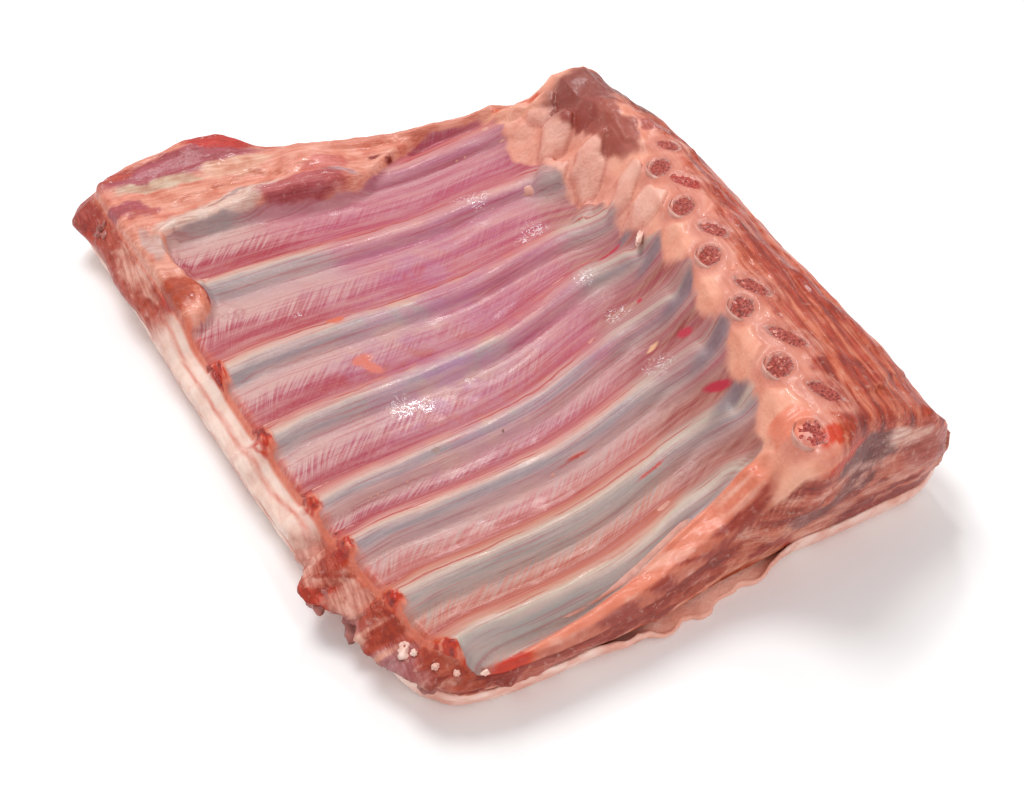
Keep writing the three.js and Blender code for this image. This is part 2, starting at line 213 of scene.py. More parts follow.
def soft_max(a, b, blend):
    """The larger of two heights, with the crease between them rounded over about the blend."""
    return 0.5 * (a + b + np.sqrt((a - b) ** 2 + blend**2))


def unit(vectors):
    return vectors / np.linalg.norm(vectors, axis=-1, keepdims=True)


def stations(count, crowding):
    """Shares from 0 to 1, closer together at both ends: t less crowding times sin(2 pi t) over 2 pi."""
    t = np.linspace(0, 1, count + 1)
    return t - crowding * np.sin(2 * np.pi * t) / (2 * np.pi)


def noise(x, y, z, seed):
    """Value noise from -1 to 1: random numbers on a lattice of unit cells, eased between the corners."""
    period = 32
    table = np.random.default_rng(seed).uniform(-1, 1, (period, period, period))
    p = np.stack(np.broadcast_arrays(x, y, z), -1).astype(float)
    cell = np.floor(p).astype(int)
    f = p - cell
    f = f * f * (3 - 2 * f)
    total = 0
    for corner in itertools.product((0, 1), repeat=3):
        i = (cell + corner) % period
        share = np.prod(np.where(corner, f, 1 - f), axis=-1)
        total = total + share * table[i[..., 0], i[..., 1], i[..., 2]]
    return total


def layered(x, y, z, seed, octaves=3):
    """Sum of noises, each at half the pitch and half the height of the one before."""
    total = 0
    for octave in range(octaves):
        total = total + noise(x * 2**octave, y * 2**octave, z * 2**octave, seed + octave) / 2**octave
    return total


def round_drop(d, radius):
    """How far a quarter round drops at a distance d from the edge."""
    inside = radius - np.sqrt(np.maximum(0, radius**2 - (radius - np.minimum(d, radius)) ** 2))
    return np.where(d >= radius, 0, inside)


def drop_at(d, rounds):
    return np.max([round_drop(d[side], radius) for side, radius in rounds.items()], axis=0)


def skirt_share(x, y):
    """1 where the midriff covers the meat: the far left corner, the left edge and the far edge's rim."""
    beside_left = smooth(0, SKIRT_EDGE, skirt_inner_x(y) - x) * smooth(*SKIRT_START, y)
    beside_far = smooth(0, SKIRT_EDGE, y - skirt_inner_y(x))
    return np.maximum(beside_left, beside_far)


def top_height(x, y):
    """The meat's top: a floor rising by an exponential to the crest, then a low swell sloping to the loin,
    with the midriff and the lumps of fat added."""
    past = x - crest_line(y)
    start, end, fall = FAR_FALL
    rise = CREST_HEIGHT - HOLLOW_FLOOR - fall * smooth(start, end, y)
    z = HOLLOW_FLOOR + rise * np.exp(np.minimum(past, 0) / CREST_RUN)
    z = z + LOIN_SWELL * np.sin(0.5 * np.pi * np.clip(past / LOIN_SWELL_RUN, 0, 1))
    z = z - LOIN_SLOPE * np.maximum(past - LOIN_SLOPE_START, 0)
    start, end, rise = LEFT_RISE
    z = z + rise * smooth(start, end, x)
    for at_x, at_y, height, radius in LUMPS:
        z = z + height * bell(np.hypot(x - at_x, y - at_y), radius)
    return z + SKIRT_THICKNESS * skirt_share(x, y)


def plan_points(u, v):
    """The plan at shares u across and v along: straight lines between the edge curves, with the line at the
    crest's share on the crest, and corners moved onto their rounds. Also the distances from the edges."""
    nominal = lerp(near_edge(NOMINAL_NEAR_X), far_edge(NOMINAL_FAR_X), v)
    left, crest, right = left_edge(nominal), crest_line(nominal), right_edge(nominal)
    over = (u - CREST_SHARE) / (1 - CREST_SHARE)
    x = np.where(u < CREST_SHARE, lerp(left, crest, u / CREST_SHARE), lerp(crest, right, over))
    near, far = near_edge(x), far_edge(x)
    y = lerp(near, far, v)
    d = {"left": x - left, "right": right - x, "near": y - near, "far": far - y}
    for (end, side), radius in CORNER_RADIUS.items():
        p, q = np.maximum(radius - d[side], 0), np.maximum(radius - d[end], 0)
        inside = (p > 0) & (q > 0)
        scale = np.where(inside, np.maximum(p, q) / np.maximum(np.hypot(p, q), 1e-9), 1)
        x = x + p * (1 - scale) * (1 if side == "left" else -1)
        y = y + q * (1 - scale) * (1 if end == "near" else -1)
    return x, y, d


def wall_push(d, x, y, w):
    """How far the walls lean out at a share w of their height: a low bulge, lumps on the left wall, and an
    overhang with a nose on the near one."""
    bulge = np.sin(np.pi * w)
    out = WALL_BULGE * bulge
    lumps = sum(reach * bell(y - at, half) for at, reach, half in WALL_LUMPS) * bulge**2
    overhang = NEAR_OVERHANG + NOSE_REACH * bell(x - NOSE_X, NOSE_HALF)
    lean = LEFT_LEAN * smooth(LEAN_START, 1, w) * smooth(LEAN_REACH, 0, d["left"])
    on = {side: smooth(WALL_EDGE, 0, d[side]) for side in d}
    push_x = lean + on["right"] * out - on["left"] * (out + lumps)
    push_y = on["far"] * out - on["near"] * (out + overhang * smooth(0, 1, w))
    return push_x, push_y


def rib_line(k):
    """y of rib k's middle by x."""
    start, crest = left_edge(RIB_END_Y[k]), crest_line(RIB_HEAD_Y[k])
    return through([
        (start, RIB_END_Y[k]),
        (MIDDLE_X, RIB_MIDDLE_Y[k]),
        (SHOULDER_X, RIB_SHOULDER_Y[k]),
        (crest, RIB_HEAD_Y[k]),
    ])


def rib_rows(x, y):
    """Which rib a point lies at, as a number that is whole on a rib's middle and runs evenly between two."""
    lines = [rib_line(k)(x) for k in range(RIBS)]
    rows = np.minimum(y - lines[0], 0) / RIB_PITCH + np.maximum(y - lines[-1], 0) / RIB_PITCH
    for below, above in zip(lines, lines[1:]):
        rows = rows + np.clip((y - below) / (above - below), 0, 1)
    return rows


def rib_crowns(x, y):
    """Height of the ribs over the meat: an oval's upper half round each rib, sunk beside the crest."""
    crowns = np.full(np.shape(x), -RIB_HALF_DEPTH, float)
    for k in range(RIBS):
        line, crest = rib_line(k), crest_line(RIB_HEAD_Y[k])
        slope = (line(x + 1) - line(x - 1)) / 2
        distance = (y - line(x)) / np.hypot(1, slope)
        fade = smooth(crest - FADE_FROM_CREST, crest - DIVE_FROM_CREST, x)
        oval = np.sqrt(np.maximum(0, 1 - (distance / RIB_HALF_WIDTH) ** 2))
        crowns = np.maximum(crowns, RIB_HALF_DEPTH * oval - RIB_SUNK - RIB_FADE * fade)
    return crowns


def srgb(text):
    """A colour written as six hex digits, as linear red, green, blue and alpha."""
    values = [int(text[i : i + 2], 16) / 255 for i in (0, 2, 4)]
    return [v / 12.92 if v <= 0.04045 else ((v + 0.055) / 1.055) ** 2.4 for v in values] + [1.0]


ATTRIBUTE_KINDS = {1: ("FLOAT", "value"), 3: ("FLOAT_VECTOR", "vector"), 4: ("FLOAT_COLOR", "color")}


def write_mesh(name, points, faces, attributes=None):
    """Makes a smooth object of points in millimetres, with numbers, vectors or colours on them."""
    mesh = bpy.data.meshes.new(name)
    mesh.from_pydata((np.asarray(points) * MM).tolist(), [], faces)
    mesh.polygons.foreach_set("use_smooth", np.ones(len(mesh.polygons), bool))
    for key, values in (attributes or {}).items():
        values = np.asarray(values, np.float32)
        kind, field = ATTRIBUTE_KINDS[1 if values.ndim == 1 else values.shape[1]]
        mesh.attributes.new(key, kind, "POINT").data.foreach_set(field, values.ravel())
    mesh.validate()
    piece = bpy.data.objects.new(name, mesh)
    bpy.context.scene.collection.objects.link(piece)
    return piece


class Net:
    """A node tree that is being built: each call adds a node, joins its inputs and gives an output back."""

    def __init__(self, tree):
        self.tree = tree

    def join(self, value, socket):
        if isinstance(value, bpy.types.NodeSocket):
            self.tree.links.new(value, socket)
        else:
            socket.default_value = value

    def node(self, kind, inputs, output=0, **settings):
        node = self.tree.nodes.new(kind)
        for key, value in settings.items():
            setattr(node, key, value)
        for key, value in inputs.items():
            self.join(value, node.inputs[key])
        return node.outputs[output]

    def attribute(self, name, output="Fac"):
        return self.node("ShaderNodeAttribute", {}, output, attribute_name=name)

    def position(self):
        return self.node("ShaderNodeTexCoord", {}, "Object")

    def math(self, operation, a, b=0.0, clamp=False):
        return self.node("ShaderNodeMath", {0: a, 1: b}, operation=operation, use_clamp=clamp)

    def turned(self, vector, turn):
        inputs = {"Vector": vector, "Rotation": (0, 0, turn)}
        return self.node("ShaderNodeMapping", inputs, vector_type="POINT")

    def noise(self, vector, scale=1.0, detail=3.0, roughness=0.5, distortion=0.0):
        inputs = {"Vector": vector, "Scale": scale, "Detail": detail, "Roughness": roughness}
        inputs["Distortion"] = distortion
        return self.node("ShaderNodeTexNoise", inputs, "Fac")

    def step(self, value, start, end, low=0.0, high=1.0):
        inputs = {"Value": value, "From Min": start, "From Max": end, "To Min": low, "To Max": high}
        return self.node("ShaderNodeMapRange", inputs, interpolation_type="SMOOTHSTEP")

    def band(self, value, rise_from, rise_to, fall_from, fall_to):
        """1 between a rise and a fall of the value, easing at both."""
        rise, fall = self.step(value, rise_from, rise_to), self.step(value, fall_to, fall_from)
        return self.math("MULTIPLY", rise, fall)

    def mix(self, factor, a, b, blend="MIX"):
        inputs = {0: factor, 6: a, 7: b}
        return self.node("ShaderNodeMix", inputs, 2, data_type="RGBA", blend_type=blend)

    def blend(self, factor, a, b):
        return self.node("ShaderNodeMix", {0: factor, 2: a, 3: b}, data_type="FLOAT")

    def enriched(self, colour, richness, brightness):
        inputs = {"Saturation": richness, "Value": brightness, "Color": colour}
        return self.node("ShaderNodeHueSaturation", inputs, "Color")

    def ramp(self, value, *stops):
        node = self.tree.nodes.new("ShaderNodeValToRGB")
        elements = node.color_ramp.elements
        while len(elements) < len(stops):
            elements.new(0.5)
        for element, (at, colour) in zip(elements, stops):
            element.position = at
            element.color = srgb(colour)
        self.tree.links.new(value, node.inputs[0])
        return node.outputs[0]

    def group(self, tree, inputs, output=0):
        return self.node("ShaderNodeGroup", inputs, output, node_tree=tree)

    def finish(self, colour, roughness, height, bump, coat, coat_roughness=0.15):
        """Joins a colour, a roughness, a coat and a height to the shader. The bump is the depth in metres."""
        shader = self.tree.nodes["Principled BSDF"].inputs
        inputs = {"Height": height, "Strength": 1.0, "Distance": bump}
        shader["Coat Roughness"].default_value = coat_roughness
        self.join(colour, shader["Base Color"])
        self.join(roughness, shader["Roughness"])
        self.join(coat, shader["Coat Weight"])
        self.join(self.node("ShaderNodeBump", inputs, "Normal"), shader["Normal"])


def new_material(name):
    material = bpy.data.materials.new(name)
    material.use_nodes = True
    return material, Net(material.node_tree)


def new_group(name, inputs, outputs):
    """An empty shader node group with these sockets, and the ends to join them to."""
    tree = bpy.data.node_groups.new(name, "ShaderNodeTree")
    for label, kind, default in inputs:
        socket = tree.interface.new_socket(label, in_out="INPUT", socket_type=kind)
        if default is not None:
            socket.default_value = default
    for label in outputs:
        tree.interface.new_socket(label, in_out="OUTPUT", socket_type="NodeSocketFloat")
    return Net(tree), tree.nodes.new("NodeGroupInput").outputs, tree.nodes.new("NodeGroupOutput").inputs


def build_ragged(name):
    """A mask whose edge is torn by noise: the mask plus the noise, made steep round a half."""
    net, start, end = new_group(name, (
        ("Mask", "NodeSocketFloat", 0.0),
        ("Vector", "NodeSocketVector", None),
        ("Scale", "NodeSocketFloat", 1.0),
        ("Amount", "NodeSocketFloat", 0.5),
        ("Softness", "NodeSocketFloat", 0.15),
    ), ("Mask",))
    tear = net.noise(start["Vector"], start["Scale"], 4, 0.6)
    tear = net.math("MULTIPLY", net.math("SUBTRACT", tear, 0.5), start["Amount"])
    torn = net.math("ADD", start["Mask"], tear)
    low = net.math("SUBTRACT", 0.5, start["Softness"])
    high = net.math("ADD", 0.5, start["Softness"])
    net.join(net.step(torn, low, high), end["Mask"])
    return net.tree


def build_fibres(name):
    """Fibres: noise drawn out along the first axis, as a steep mask and as a plain height."""
    net, start, end = new_group(name, (
        ("Vector", "NodeSocketVector", None),
        ("Along", "NodeSocketFloat", 0.1),
        ("Across", "NodeSocketFloat", 1.0),
    ), ("Mask", "Height"))
    size = net.node("ShaderNodeCombineXYZ", {0: start["Along"], 1: start["Across"], 2: start["Across"]})
    drawn = net.node("ShaderNodeVectorMath", {0: start["Vector"], 1: size}, operation="MULTIPLY")
    strand = net.noise(drawn, 1.0, 3)
    net.join(net.step(strand, 0.36, 0.66), end["Mask"])
    net.join(strand, end["Height"])
    return net.tree


def shared_group(name, build):
    """The node group of this name, built the first time that it is asked for."""
    return bpy.data.node_groups.get(name) or build(name)


def ragged(net, mask, vector, scale, amount, softness=0.15):
    inputs = {"Mask": mask, "Vector": vector, "Scale": scale, "Amount": amount, "Softness": softness}
    return net.group(shared_group("ragged_mask", build_ragged), inputs)


def fibres(net, vector, along, across, output="Mask"):
    inputs = {"Vector": vector, "Along": along, "Across": across}
    return net.group(shared_group("fibres", build_fibres), inputs, output)


def times(net, *values):
    """The product of several values."""
    product = values[0]
    for value in values[1:]:
        product = net.math("MULTIPLY", product, value)
    return product


def flesh_fibres(net, place, along, across, output="Mask"):
    """Fibres along X, or along Y by the meat's attribute."""
    along_x = fibres(net, place, along, across, output)
    along_y = fibres(net, net.turned(place, math.radians(90)), along, across, output)
    return net.blend(net.attribute("along_y"), along_x, along_y)


def painted_tissue(net, place):
    """The painted colour of fat and muscle, with clouds, darker fibres and pale flecks laid over it, all of
    them stronger on lean flesh."""
    paint = net.attribute("paint", "Color")
    lean = net.attribute("lean")
    clouds = net.ramp(net.noise(place, 150, 4), (0.3, "d8a8a0"), (0.48, "f6e6e2"), (0.6, "ffffff"))
    colour = net.mix(net.step(lean, 0.1, 0.8, 0.4, 1.0), paint, net.mix(1.0, paint, clouds, "MULTIPLY"))
    strands = times(net, flesh_fibres(net, place, 55, 800), lean, 0.6)
    colour = net.mix(strands, colour, net.mix(1.0, colour, srgb("b4695e"), "MULTIPLY"))
    fleck = net.step(net.noise(place, 520, 3, 0.6), 0.57, 0.7)
    return net.mix(times(net, fleck, net.step(lean, 0, 1, 0.12, 0.22)), colour, srgb("f6d3c5"))


# The hollow's bands: colours by the share of the way from one rib's middle to the next, alike at both ends.
# The pale cream at each rib's crown is partly painted highlight. The grey just before it, on the rib's near
# side, is partly painted shade and partly the bone's own grey under the skin.
BANDS = {
    "deep": (
        (0.0, "e2cbbd"), (0.07, "e6b4a9"), (0.14, "d68f8b"), (0.22, "b04f58"), (0.35, "a74b56"),
        (0.45, "b9707a"), (0.53, "d0a4a4"), (0.65, "deb9b2"), (0.77, "d3b2ae"), (0.85, "aa9d9e"),
        (0.92, "a39a9a"), (0.97, "c3b5af"), (1.0, "e2cbbd"),
    ),
    "shallow": (
        (0.0, "e3c6ba"), (0.08, "e6b3a9"), (0.2, "d4908e"), (0.36, "c97e84"), (0.5, "d09a9e"),
        (0.65, "daaead"), (0.77, "cfaeb0"), (0.86, "a99ea2"), (0.93, "a8a0a1"), (0.97, "c6b3b0"),
        (1.0, "e3c6ba"),
    ),
    "pink": (
        (0.0, "e8b4ae"), (0.1, "dd9793"), (0.22, "ca7780"), (0.36, "bf6c7a"), (0.5, "c98693"),
        (0.64, "d99fa2"), (0.8, "cc939e"), (0.9, "c08a98"), (1.0, "e8b4ae"),
    ),
    "warm": (
        (0.0, "d8cabb"), (0.08, "dfb5a5"), (0.2, "d79283"), (0.36, "c98378"), (0.48, "d3978a"),
        (0.6, "d3aea3"), (0.72, "b8a8a2"), (0.86, "a89f9c"), (0.95, "bfb2a9"), (1.0, "d8cabb"),
    ),
    "root": (
        (0.0, "dacbbe"), (0.12, "d0b5aa"), (0.27, "b0746c"), (0.42, "a2605a"), (0.56, "b98882"),
        (0.7, "cba8a4"), (0.84, "b5a6a6"), (1.0, "dacbbe"),
    ),
}


def hollow_skin(net, place, vector):
    """The hollow's bands across each rib and the muscle beside it, which has a torn edge of slanted fibres;
    each rib's pale crown is partly painted highlight and its grey near side partly painted shade. The bands
    are deep or shallow, pink where no bone shows, warm on the nearest ribs and brown at the crest's foot, with
    streaks along the ribs, thin red lines, grey pockets of painted shade and a glow along the sawn edge."""
    parts = net.tree.nodes.new("ShaderNodeSeparateXYZ")
    net.join(vector, parts.inputs[0])
    row = net.math("DIVIDE", parts.outputs[1], RIB_PITCH)
    slanted = net.turned(vector, math.radians(-48))
    comb = fibres(net, slanted, 0.06, 1.1)
    fine_comb = fibres(net, slanted, 0.05, 2.6)
    streaks = fibres(net, vector, 0.03, 0.5)
    drift = net.noise(place, 42, 3)
    patches = net.noise(place, 110, 4, 0.6)
    wander = times(net, net.math("SUBTRACT", drift, 0.5), 0.2)
    wander = net.math("ADD", wander, times(net, net.math("SUBTRACT", patches, 0.5), 0.05))
    even = net.math("FRACT", net.math("ADD", row, wander))
    teeth = times(net, net.math("SUBTRACT", comb, 0.5), net.band(even, 0.3, 0.42, 0.6, 0.72), 0.2)
    teeth = times(net, teeth, net.step(net.attribute("foot"), 0.7, 0.2))
    share = net.math("ADD", even, teeth)

    # The ramps paint each rib's pale crown partly as highlight and its grey near side partly as shade.
    bands = {name: net.ramp(share, *stops) for name, stops in BANDS.items()}
    colour = net.mix(net.attribute("depth"), bands["shallow"], bands["deep"])
    bony = ragged(net, net.attribute("bone"), vector, 0.05, 0.5, 0.35)
    colour = net.mix(bony, bands["pink"], colour)
    colour = net.mix(net.step(row, 2.1, 0.9), colour, bands["warm"])
    foot = ragged(net, net.attribute("foot"), vector, 0.04, 0.4, 0.4)
    colour = net.mix(foot, colour, bands["root"])

    violet = net.ramp(drift, (0.35, "b585ab"), (0.6, "c78ba2"))
    lilac = times(net, net.attribute("lilac"), net.step(patches, 0.35, 0.6), 0.65)
    colour = net.mix(lilac, colour, violet)
    combed = times(net, fine_comb, net.band(share, 0.14, 0.24, 0.42, 0.58), 0.2)
    colour = net.mix(combed, colour, srgb("dfaaa6"))
    fan = fibres(net, net.turned(vector, math.radians(-35)), 0.05, 0.55)
    fan = times(net, fan, foot, net.band(share, 0.15, 0.3, 0.5, 0.7), 0.45)
    colour = net.mix(fan, colour, srgb("dcb4a8"))
    rosy = times(net, fibres(net, vector, 0.014, 0.28), net.step(bony, 1.0, 0.0, 0.1, 0.45))
    colour = net.mix(rosy, colour, srgb("b86a80"))
    colour = net.mix(times(net, streaks, 0.3), colour, srgb("efcbc4"))
    thread = times(net, net.step(fibres(net, vector, 0.03, 1.4), 0.7, 1.0), 0.3)
    colour = net.mix(thread, colour, srgb("b4525c"))
    line = times(net, net.band(even, 0.06, 0.08, 0.085, 0.105), net.step(streaks, 0.25, 0.8), 0.65)
    colour = net.mix(line, colour, srgb("b9504c"))
    # Painted shade: grey in the pockets where the ribs go under the crest.
    pocket = net.ramp(patches, (0.3, "84737a"), (0.7, "ab989b"))
    colour = net.mix(net.attribute("pocket"), colour, pocket)
    glow = ragged(net, net.attribute("glow"), place, 400, 0.7, 0.5)
    return net.mix(times(net, glow, 0.85), colour, net.ramp(patches, (0.3, "e0695a"), (0.65, "f4a893")))


def raw_meat_material(settings):
    """Meat: banded skin in the hollow with its marks, painted muscle and fat elsewhere, a moist gloss and thin
    crinkles of wet film, whose glints are painted highlights of white lines."""
    material, net = new_material("raw_lamb_meat")
    place = net.position()
    vector = net.attribute("fibre", "Vector")
    hollow = ragged(net, net.attribute("hollow"), place, 300, 0.5, 0.35)
    skin = net.enriched(hollow_skin(net, place, vector), settings.skin_richness, settings.skin_brightness)
    flesh = net.enriched(painted_tissue(net, place), settings.flesh_richness, settings.flesh_brightness)
    mark = ragged(net, net.attribute("mark"), place, 500, 0.5, 0.35)
    colour = net.mix(mark, net.mix(hollow, flesh, skin), net.attribute("stain", "Color"))

    crinkle = net.band(net.noise(place, 330, 2, 0.5, 1.5), 0.462, 0.478, 0.5, 0.516)
    film_with_painted_glints = times(net, crinkle, ragged(net, net.attribute("wet"), place, 300, 1.2, 0.2))
    # Painted highlights: the film's crinkles laid into the colour as thin white lines.
    colour = net.mix(times(net, film_with_painted_glints, 0.6), colour, srgb("fbf4f6"))
    grain = net.noise(place, 900, 2, 0.6)
    swell = net.noise(place, 170, 2)
    rough = net.step(net.attribute("lean"), 0, 1, 0.3, 1.3)
    coarse = times(net, flesh_fibres(net, place, 55, 1000, "Height"), rough)
    smoothed = times(net, fibres(net, vector, 0.06, 1.1, "Height"), 0.35)
    strands = net.blend(net.attribute("hollow"), coarse, smoothed)
    height = net.math("ADD", net.math("ADD", times(net, grain, 0.2), strands), times(net, swell, 0.7))
    dull = net.step(grain, 0.3, 0.7, 0.42, 0.58)
    soft = net.math("ADD", net.step(hollow, 0, 1, 0.18, 0.06), net.step(swell, 0.5, 0.75, 0.0, 0.12))
    coat = net.math("ADD", times(net, soft, settings.gloss), times(net, film_with_painted_glints, 0.6), clamp=True)
    net.finish(colour, dull, height, settings.relief, coat, 0.12)
    return material


def rib_material(settings):
    """Bone: pinkish outside with fine grain, and red spongy marrow where it is sawn."""
    material, net = new_material("lamb_rib_bone")
    place = net.position()
    cut = net.attribute("marrow")
    bloody = ragged(net, net.attribute("bloody"), place, 420, 0.9, 0.2)
    marrow = ragged(net, cut, place, 480, 1.3, 0.3)
    pores = net.noise(place, 1400, 3, 0.7)
    grain = net.ramp(net.noise(place, 300, 4), (0.3, "e0cec8"), (0.7, "ffffff"))
    bone = net.mix(1.0, grain, (*settings.bone, 1), "MULTIPLY")
    rim = net.ramp(pores, (0.32, "a8665c"), (0.48, "c58477"), (0.66, "d69c8f"))
    tint = net.ramp(pores, (0.34, "8c4a42"), (0.46, "c08a82"), (0.58, "f2cec6"), (0.7, "ffffff"))
    sponge = net.mix(1.0, tint, (*settings.marrow, 1), "MULTIPLY")
    fresh = net.ramp(pores, (0.34, "7c1310"), (0.48, "bb2e25"), (0.6, "dd5a4a"), (0.72, "f3b3a0"))
    colour = net.mix(net.step(cut, 0.0, 0.02), bone, net.mix(marrow, rim, sponge))
    colour = net.mix(bloody, colour, fresh)
    open_bone = net.math("MAXIMUM", net.step(cut, 0.02, 0.5, 0.1, 0.8), bloody)
    net.finish(colour, 0.45, times(net, pores, open_bone), 0.001, 0.12)
    return material


def fat_material(settings):
    """Fat: pale and deeper pink in soft patches, with thin streaks of flesh and a waxy gloss."""
    material, net = new_material("lamb_fat")
    place = net.position()
    blotches = net.noise(place, 120, 4)
    grain = net.noise(place, 600, 4, 0.6)
    fat = net.mix(net.step(blotches, 0.3, 0.7), (*settings.deep, 1), (*settings.pale, 1))
    fat = net.mix(net.attribute("rosy"), fat, srgb("f2a78f"))
    flesh =ragged(net, net.attribute("flesh"), place, 260, 0.8, 0.15)
    red = net.ramp(net.noise(place, 240, 4), (0.3, "8a4640"), (0.6, "b0645a"), (0.8, "c98378"))
    colour = net.mix(flesh, fat, red)
    rough = net.step(grain, 0.3, 0.7, 0.36, 0.52)
    net.finish(colour, rough, net.math("ADD", grain, blotches), 0.0004, 0.2, 0.2)
    return material


# The meat's grid: cells across the hollow and the sawn face, along the rack, down the walls and below, and how
# much the lines crowd at the rims.
SKIN_HOLLOW_CELLS = 170
SKIN_FACE_CELLS = 84
SKIN_LONG_CELLS = 262
SKIN_WALL_CELLS = 18
SKIN_UNDER_CELLS = 28
SKIN_CROWDING = 0.45
FACE_CROWDING = 0.25


def block_faces(nu, nv, nw, columns):
    """Faces of a block: a top grid, walls of nw rows below its rim, and an underside that keeps only some of
    the grid's columns, whose own points come last. Also the grid place of each rim point, in order."""
    grid = np.arange((nu + 1) * (nv + 1)).reshape(nu + 1, nv + 1)
    top = np.stack([grid[:-1, :-1], grid[1:, :-1], grid[1:, 1:], grid[:-1, 1:]], -1).reshape(-1, 4)
    i = np.concatenate([np.arange(nu), np.full(nv, nu), np.arange(nu, 0, -1), np.zeros(nv, int)])
    j = np.concatenate([np.zeros(nu, int), np.arange(nv), np.full(nu, nv), np.arange(nv, 0, -1)])
    around = len(i)
    rows = [grid[i, j]] + [grid.size + row * around + np.arange(around) for row in range(nw)]
    faces = [top]
    for upper, lower in zip(rows, rows[1:]):
        faces.append(np.stack([lower, np.roll(lower, -1), np.roll(upper, -1), upper], -1))
    foot = rows[-1]
    left, right = foot[(-np.arange(nv + 1)) % around], foot[nu + np.arange(nv + 1)]
    inner = rows[-1][-1] + 1 + np.arange((len(columns) - 2) * (nv - 1)).reshape(-1, nv - 1)
    under = np.vstack([left[1:-1], inner, right[1:-1]])
    below = np.stack([under[:-1, :-1], under[:-1, 1:], under[1:, 1:], under[1:, :-1]], -1)
    faces.append(below.reshape(-1, 4))

    # The rim's points join the nearest column, as a triangle where two of them share it.
    nearest = np.abs(columns[:, None] - np.arange(nu + 1)).argmin(0)
    joins = nearest[:-1] == nearest[1:]
    near, far = foot[: nu + 1], foot[nu + nv : 2 * nu + nv + 1][::-1]
    near_ends = np.stack([near[:-1], under[nearest[:-1], 0], under[nearest[1:], 0], near[1:]], -1)
    far_ends = np.stack([far[:-1], far[1:], under[nearest[1:], -1], under[nearest[:-1], -1]], -1)
    faces += [near_ends[~joins], far_ends[~joins]]
    triangles = np.vstack([near_ends[joins][:, [0, 1, 3]], far_ends[joins][:, :3]])
    return np.vstack(faces).tolist() + triangles.tolist(), i, j


def under_columns(nu, count):
    """Which columns of a top grid of nu cells its underside keeps, the first and the last among them."""
    return np.linspace(0, nu, count + 1).astype(int)


def outward(x, y):
    """Unit normals of a closed outline, given anticlockwise."""
    along_x, along_y = np.roll(x, -1) - np.roll(x, 1), np.roll(y, -1) - np.roll(y, 1)
    length = np.maximum(np.hypot(along_x, along_y), 1e-9)
    return along_y / length, -along_x / length


# Ridges and grooves of the top along straight lines: from x, y, to x, y, height and radius.
FOLDS = (
    (-82, 109, -50, 119, 1.6, 4.5), (-94, 128, -87, 84, 1.0, 4.5), (-100, 141, -52, 156, 0.8, 5.0),
    (-48, 116.5, -20, 118.5, 2.6, 5.0), (-30, 141, 20, 139, 1.0, 3.5), (-40, 146, 5, 138, -1.0, 1.3),
    (40, 138, 56, 124, 2.0, 3.5), (70, 88, 84, 60, 1.3, 2.5), (76, 92, 90, 66, -1.2, 1.8),
    (84, 40, 96, -30, -0.8, 1.4), (78, 30, 92, -36, 0.8, 2.2), (88, -6, 101, -52, 0.9, 2.4),
    (49, -58, 53, -69, -1.6, 1.2), (62, -66, 74, -66, 1.0, 4.0), (-73, 74, -66, 66, 1.0, 1.3),
    (-77, 76, -71, 66, 0.8, 1.3),
)
# Edges of layers that lie over others: from x, y, to x, y, height and run-out. A line's left is raised.
LEDGES = (
    (-58, 142, -98, 136, 1.2, 6), (-86, 106, -44, 119, 1.7, 6), (-73, 68, -80, 106, 1.5, 6),
    (-95, 84, -75, 88, 1.4, 6), (-50, 111, -17, 113, 1.8, 7), (-80, 124, -44, 132, 1.0, 5),
    (-52, 134, -34, 122, 1.2, 5), (-32, 136, 34, 138, 1.2, 4), (-14, 115, 5, 133, 1.7, 5),
    (-90, 150, -52, 156, 0.9, 4), (44, 128, 61, 112, 1.5, 5), (66, 98, 69, 62, 1.2, 4),
    (98, 66, 78, 100, 1.2, 4), (102, -34, 92, 34, 0.9, 4), (78, -58, 104, -44, 1.3, 4),
)
# Lobes of soft fat at the crest's far end: x, y, two half widths, turn in degrees and height.
LOBES = (
    (53, 103, 9, 6.5, 60, 3.6), (57, 80, 9.5, 6.5, 75, 3.2), (61, 60, 7, 5, 80, 3.0),
    (54, 118, 8, 5, 120, 3.2), (46, 131, 8, 4.5, 130, 2.6), (46, 92, 6.5, 5, 20, 2.6),
    (50, 68, 5.5, 4.5, 40, 2.4), (62, 46, 6, 5, 80, 2.4),
)
# How far past the crest line the hollow's skin ends, by y.
skin_ends = through([
    (-75, -3), (-40, -2.5), (-17, -1.5), (10, -1.5), (25, -3), (40, -6), (55, -9), (70, -13), (85, -17),
    (100, -20), (115, -21),
])
# How far the near edge's band of flesh reaches inwards, by x.
rim_reach = through([(-50, 0.5), (-30, 2), (-10, 4), (10, 7), (25, 9.5), (50, 11)])


def segment_distance(x, y, fold):
    """How far points are from a straight line between two points."""
    x0, y0, x1, y1 = fold
    run_x, run_y = x1 - x0, y1 - y0
    t = np.clip(((x - x0) * run_x + (y - y0) * run_y) / (run_x**2 + run_y**2), 0, 1)
    return np.hypot(x - x0 - t * run_x, y - y0 - t * run_y)


def warped(x, y, reach, pitch, seed):
    """Points moved by noise, so that what is drawn by them has wavy outlines."""
    move_x = reach * layered(x / pitch, y / pitch, 0, seed)
    move_y = reach * layered(x / pitch, y / pitch, 7.5, seed)
    return x + move_x, y + move_y


def ledge_height(x, y, ledge):
    """A step up on the left of a line, running out behind it by an exponential and at both of its ends."""
    x0, y0, x1, y1, height, run_out = ledge
    length = math.hypot(x1 - x0, y1 - y0)
    along_x, along_y = (x1 - x0) / length, (y1 - y0) / length
    t = ((x - x0) * along_x + (y - y0) * along_y) / length
    left = (y - y0) * along_x - (x - x0) * along_y
    ends = smooth(-0.02, 0.15, t) * smooth(1.02, 0.85, t)
    return height * ends * smooth(-0.6, 0.7, left) * np.exp(-np.maximum(left, 0) / run_out)


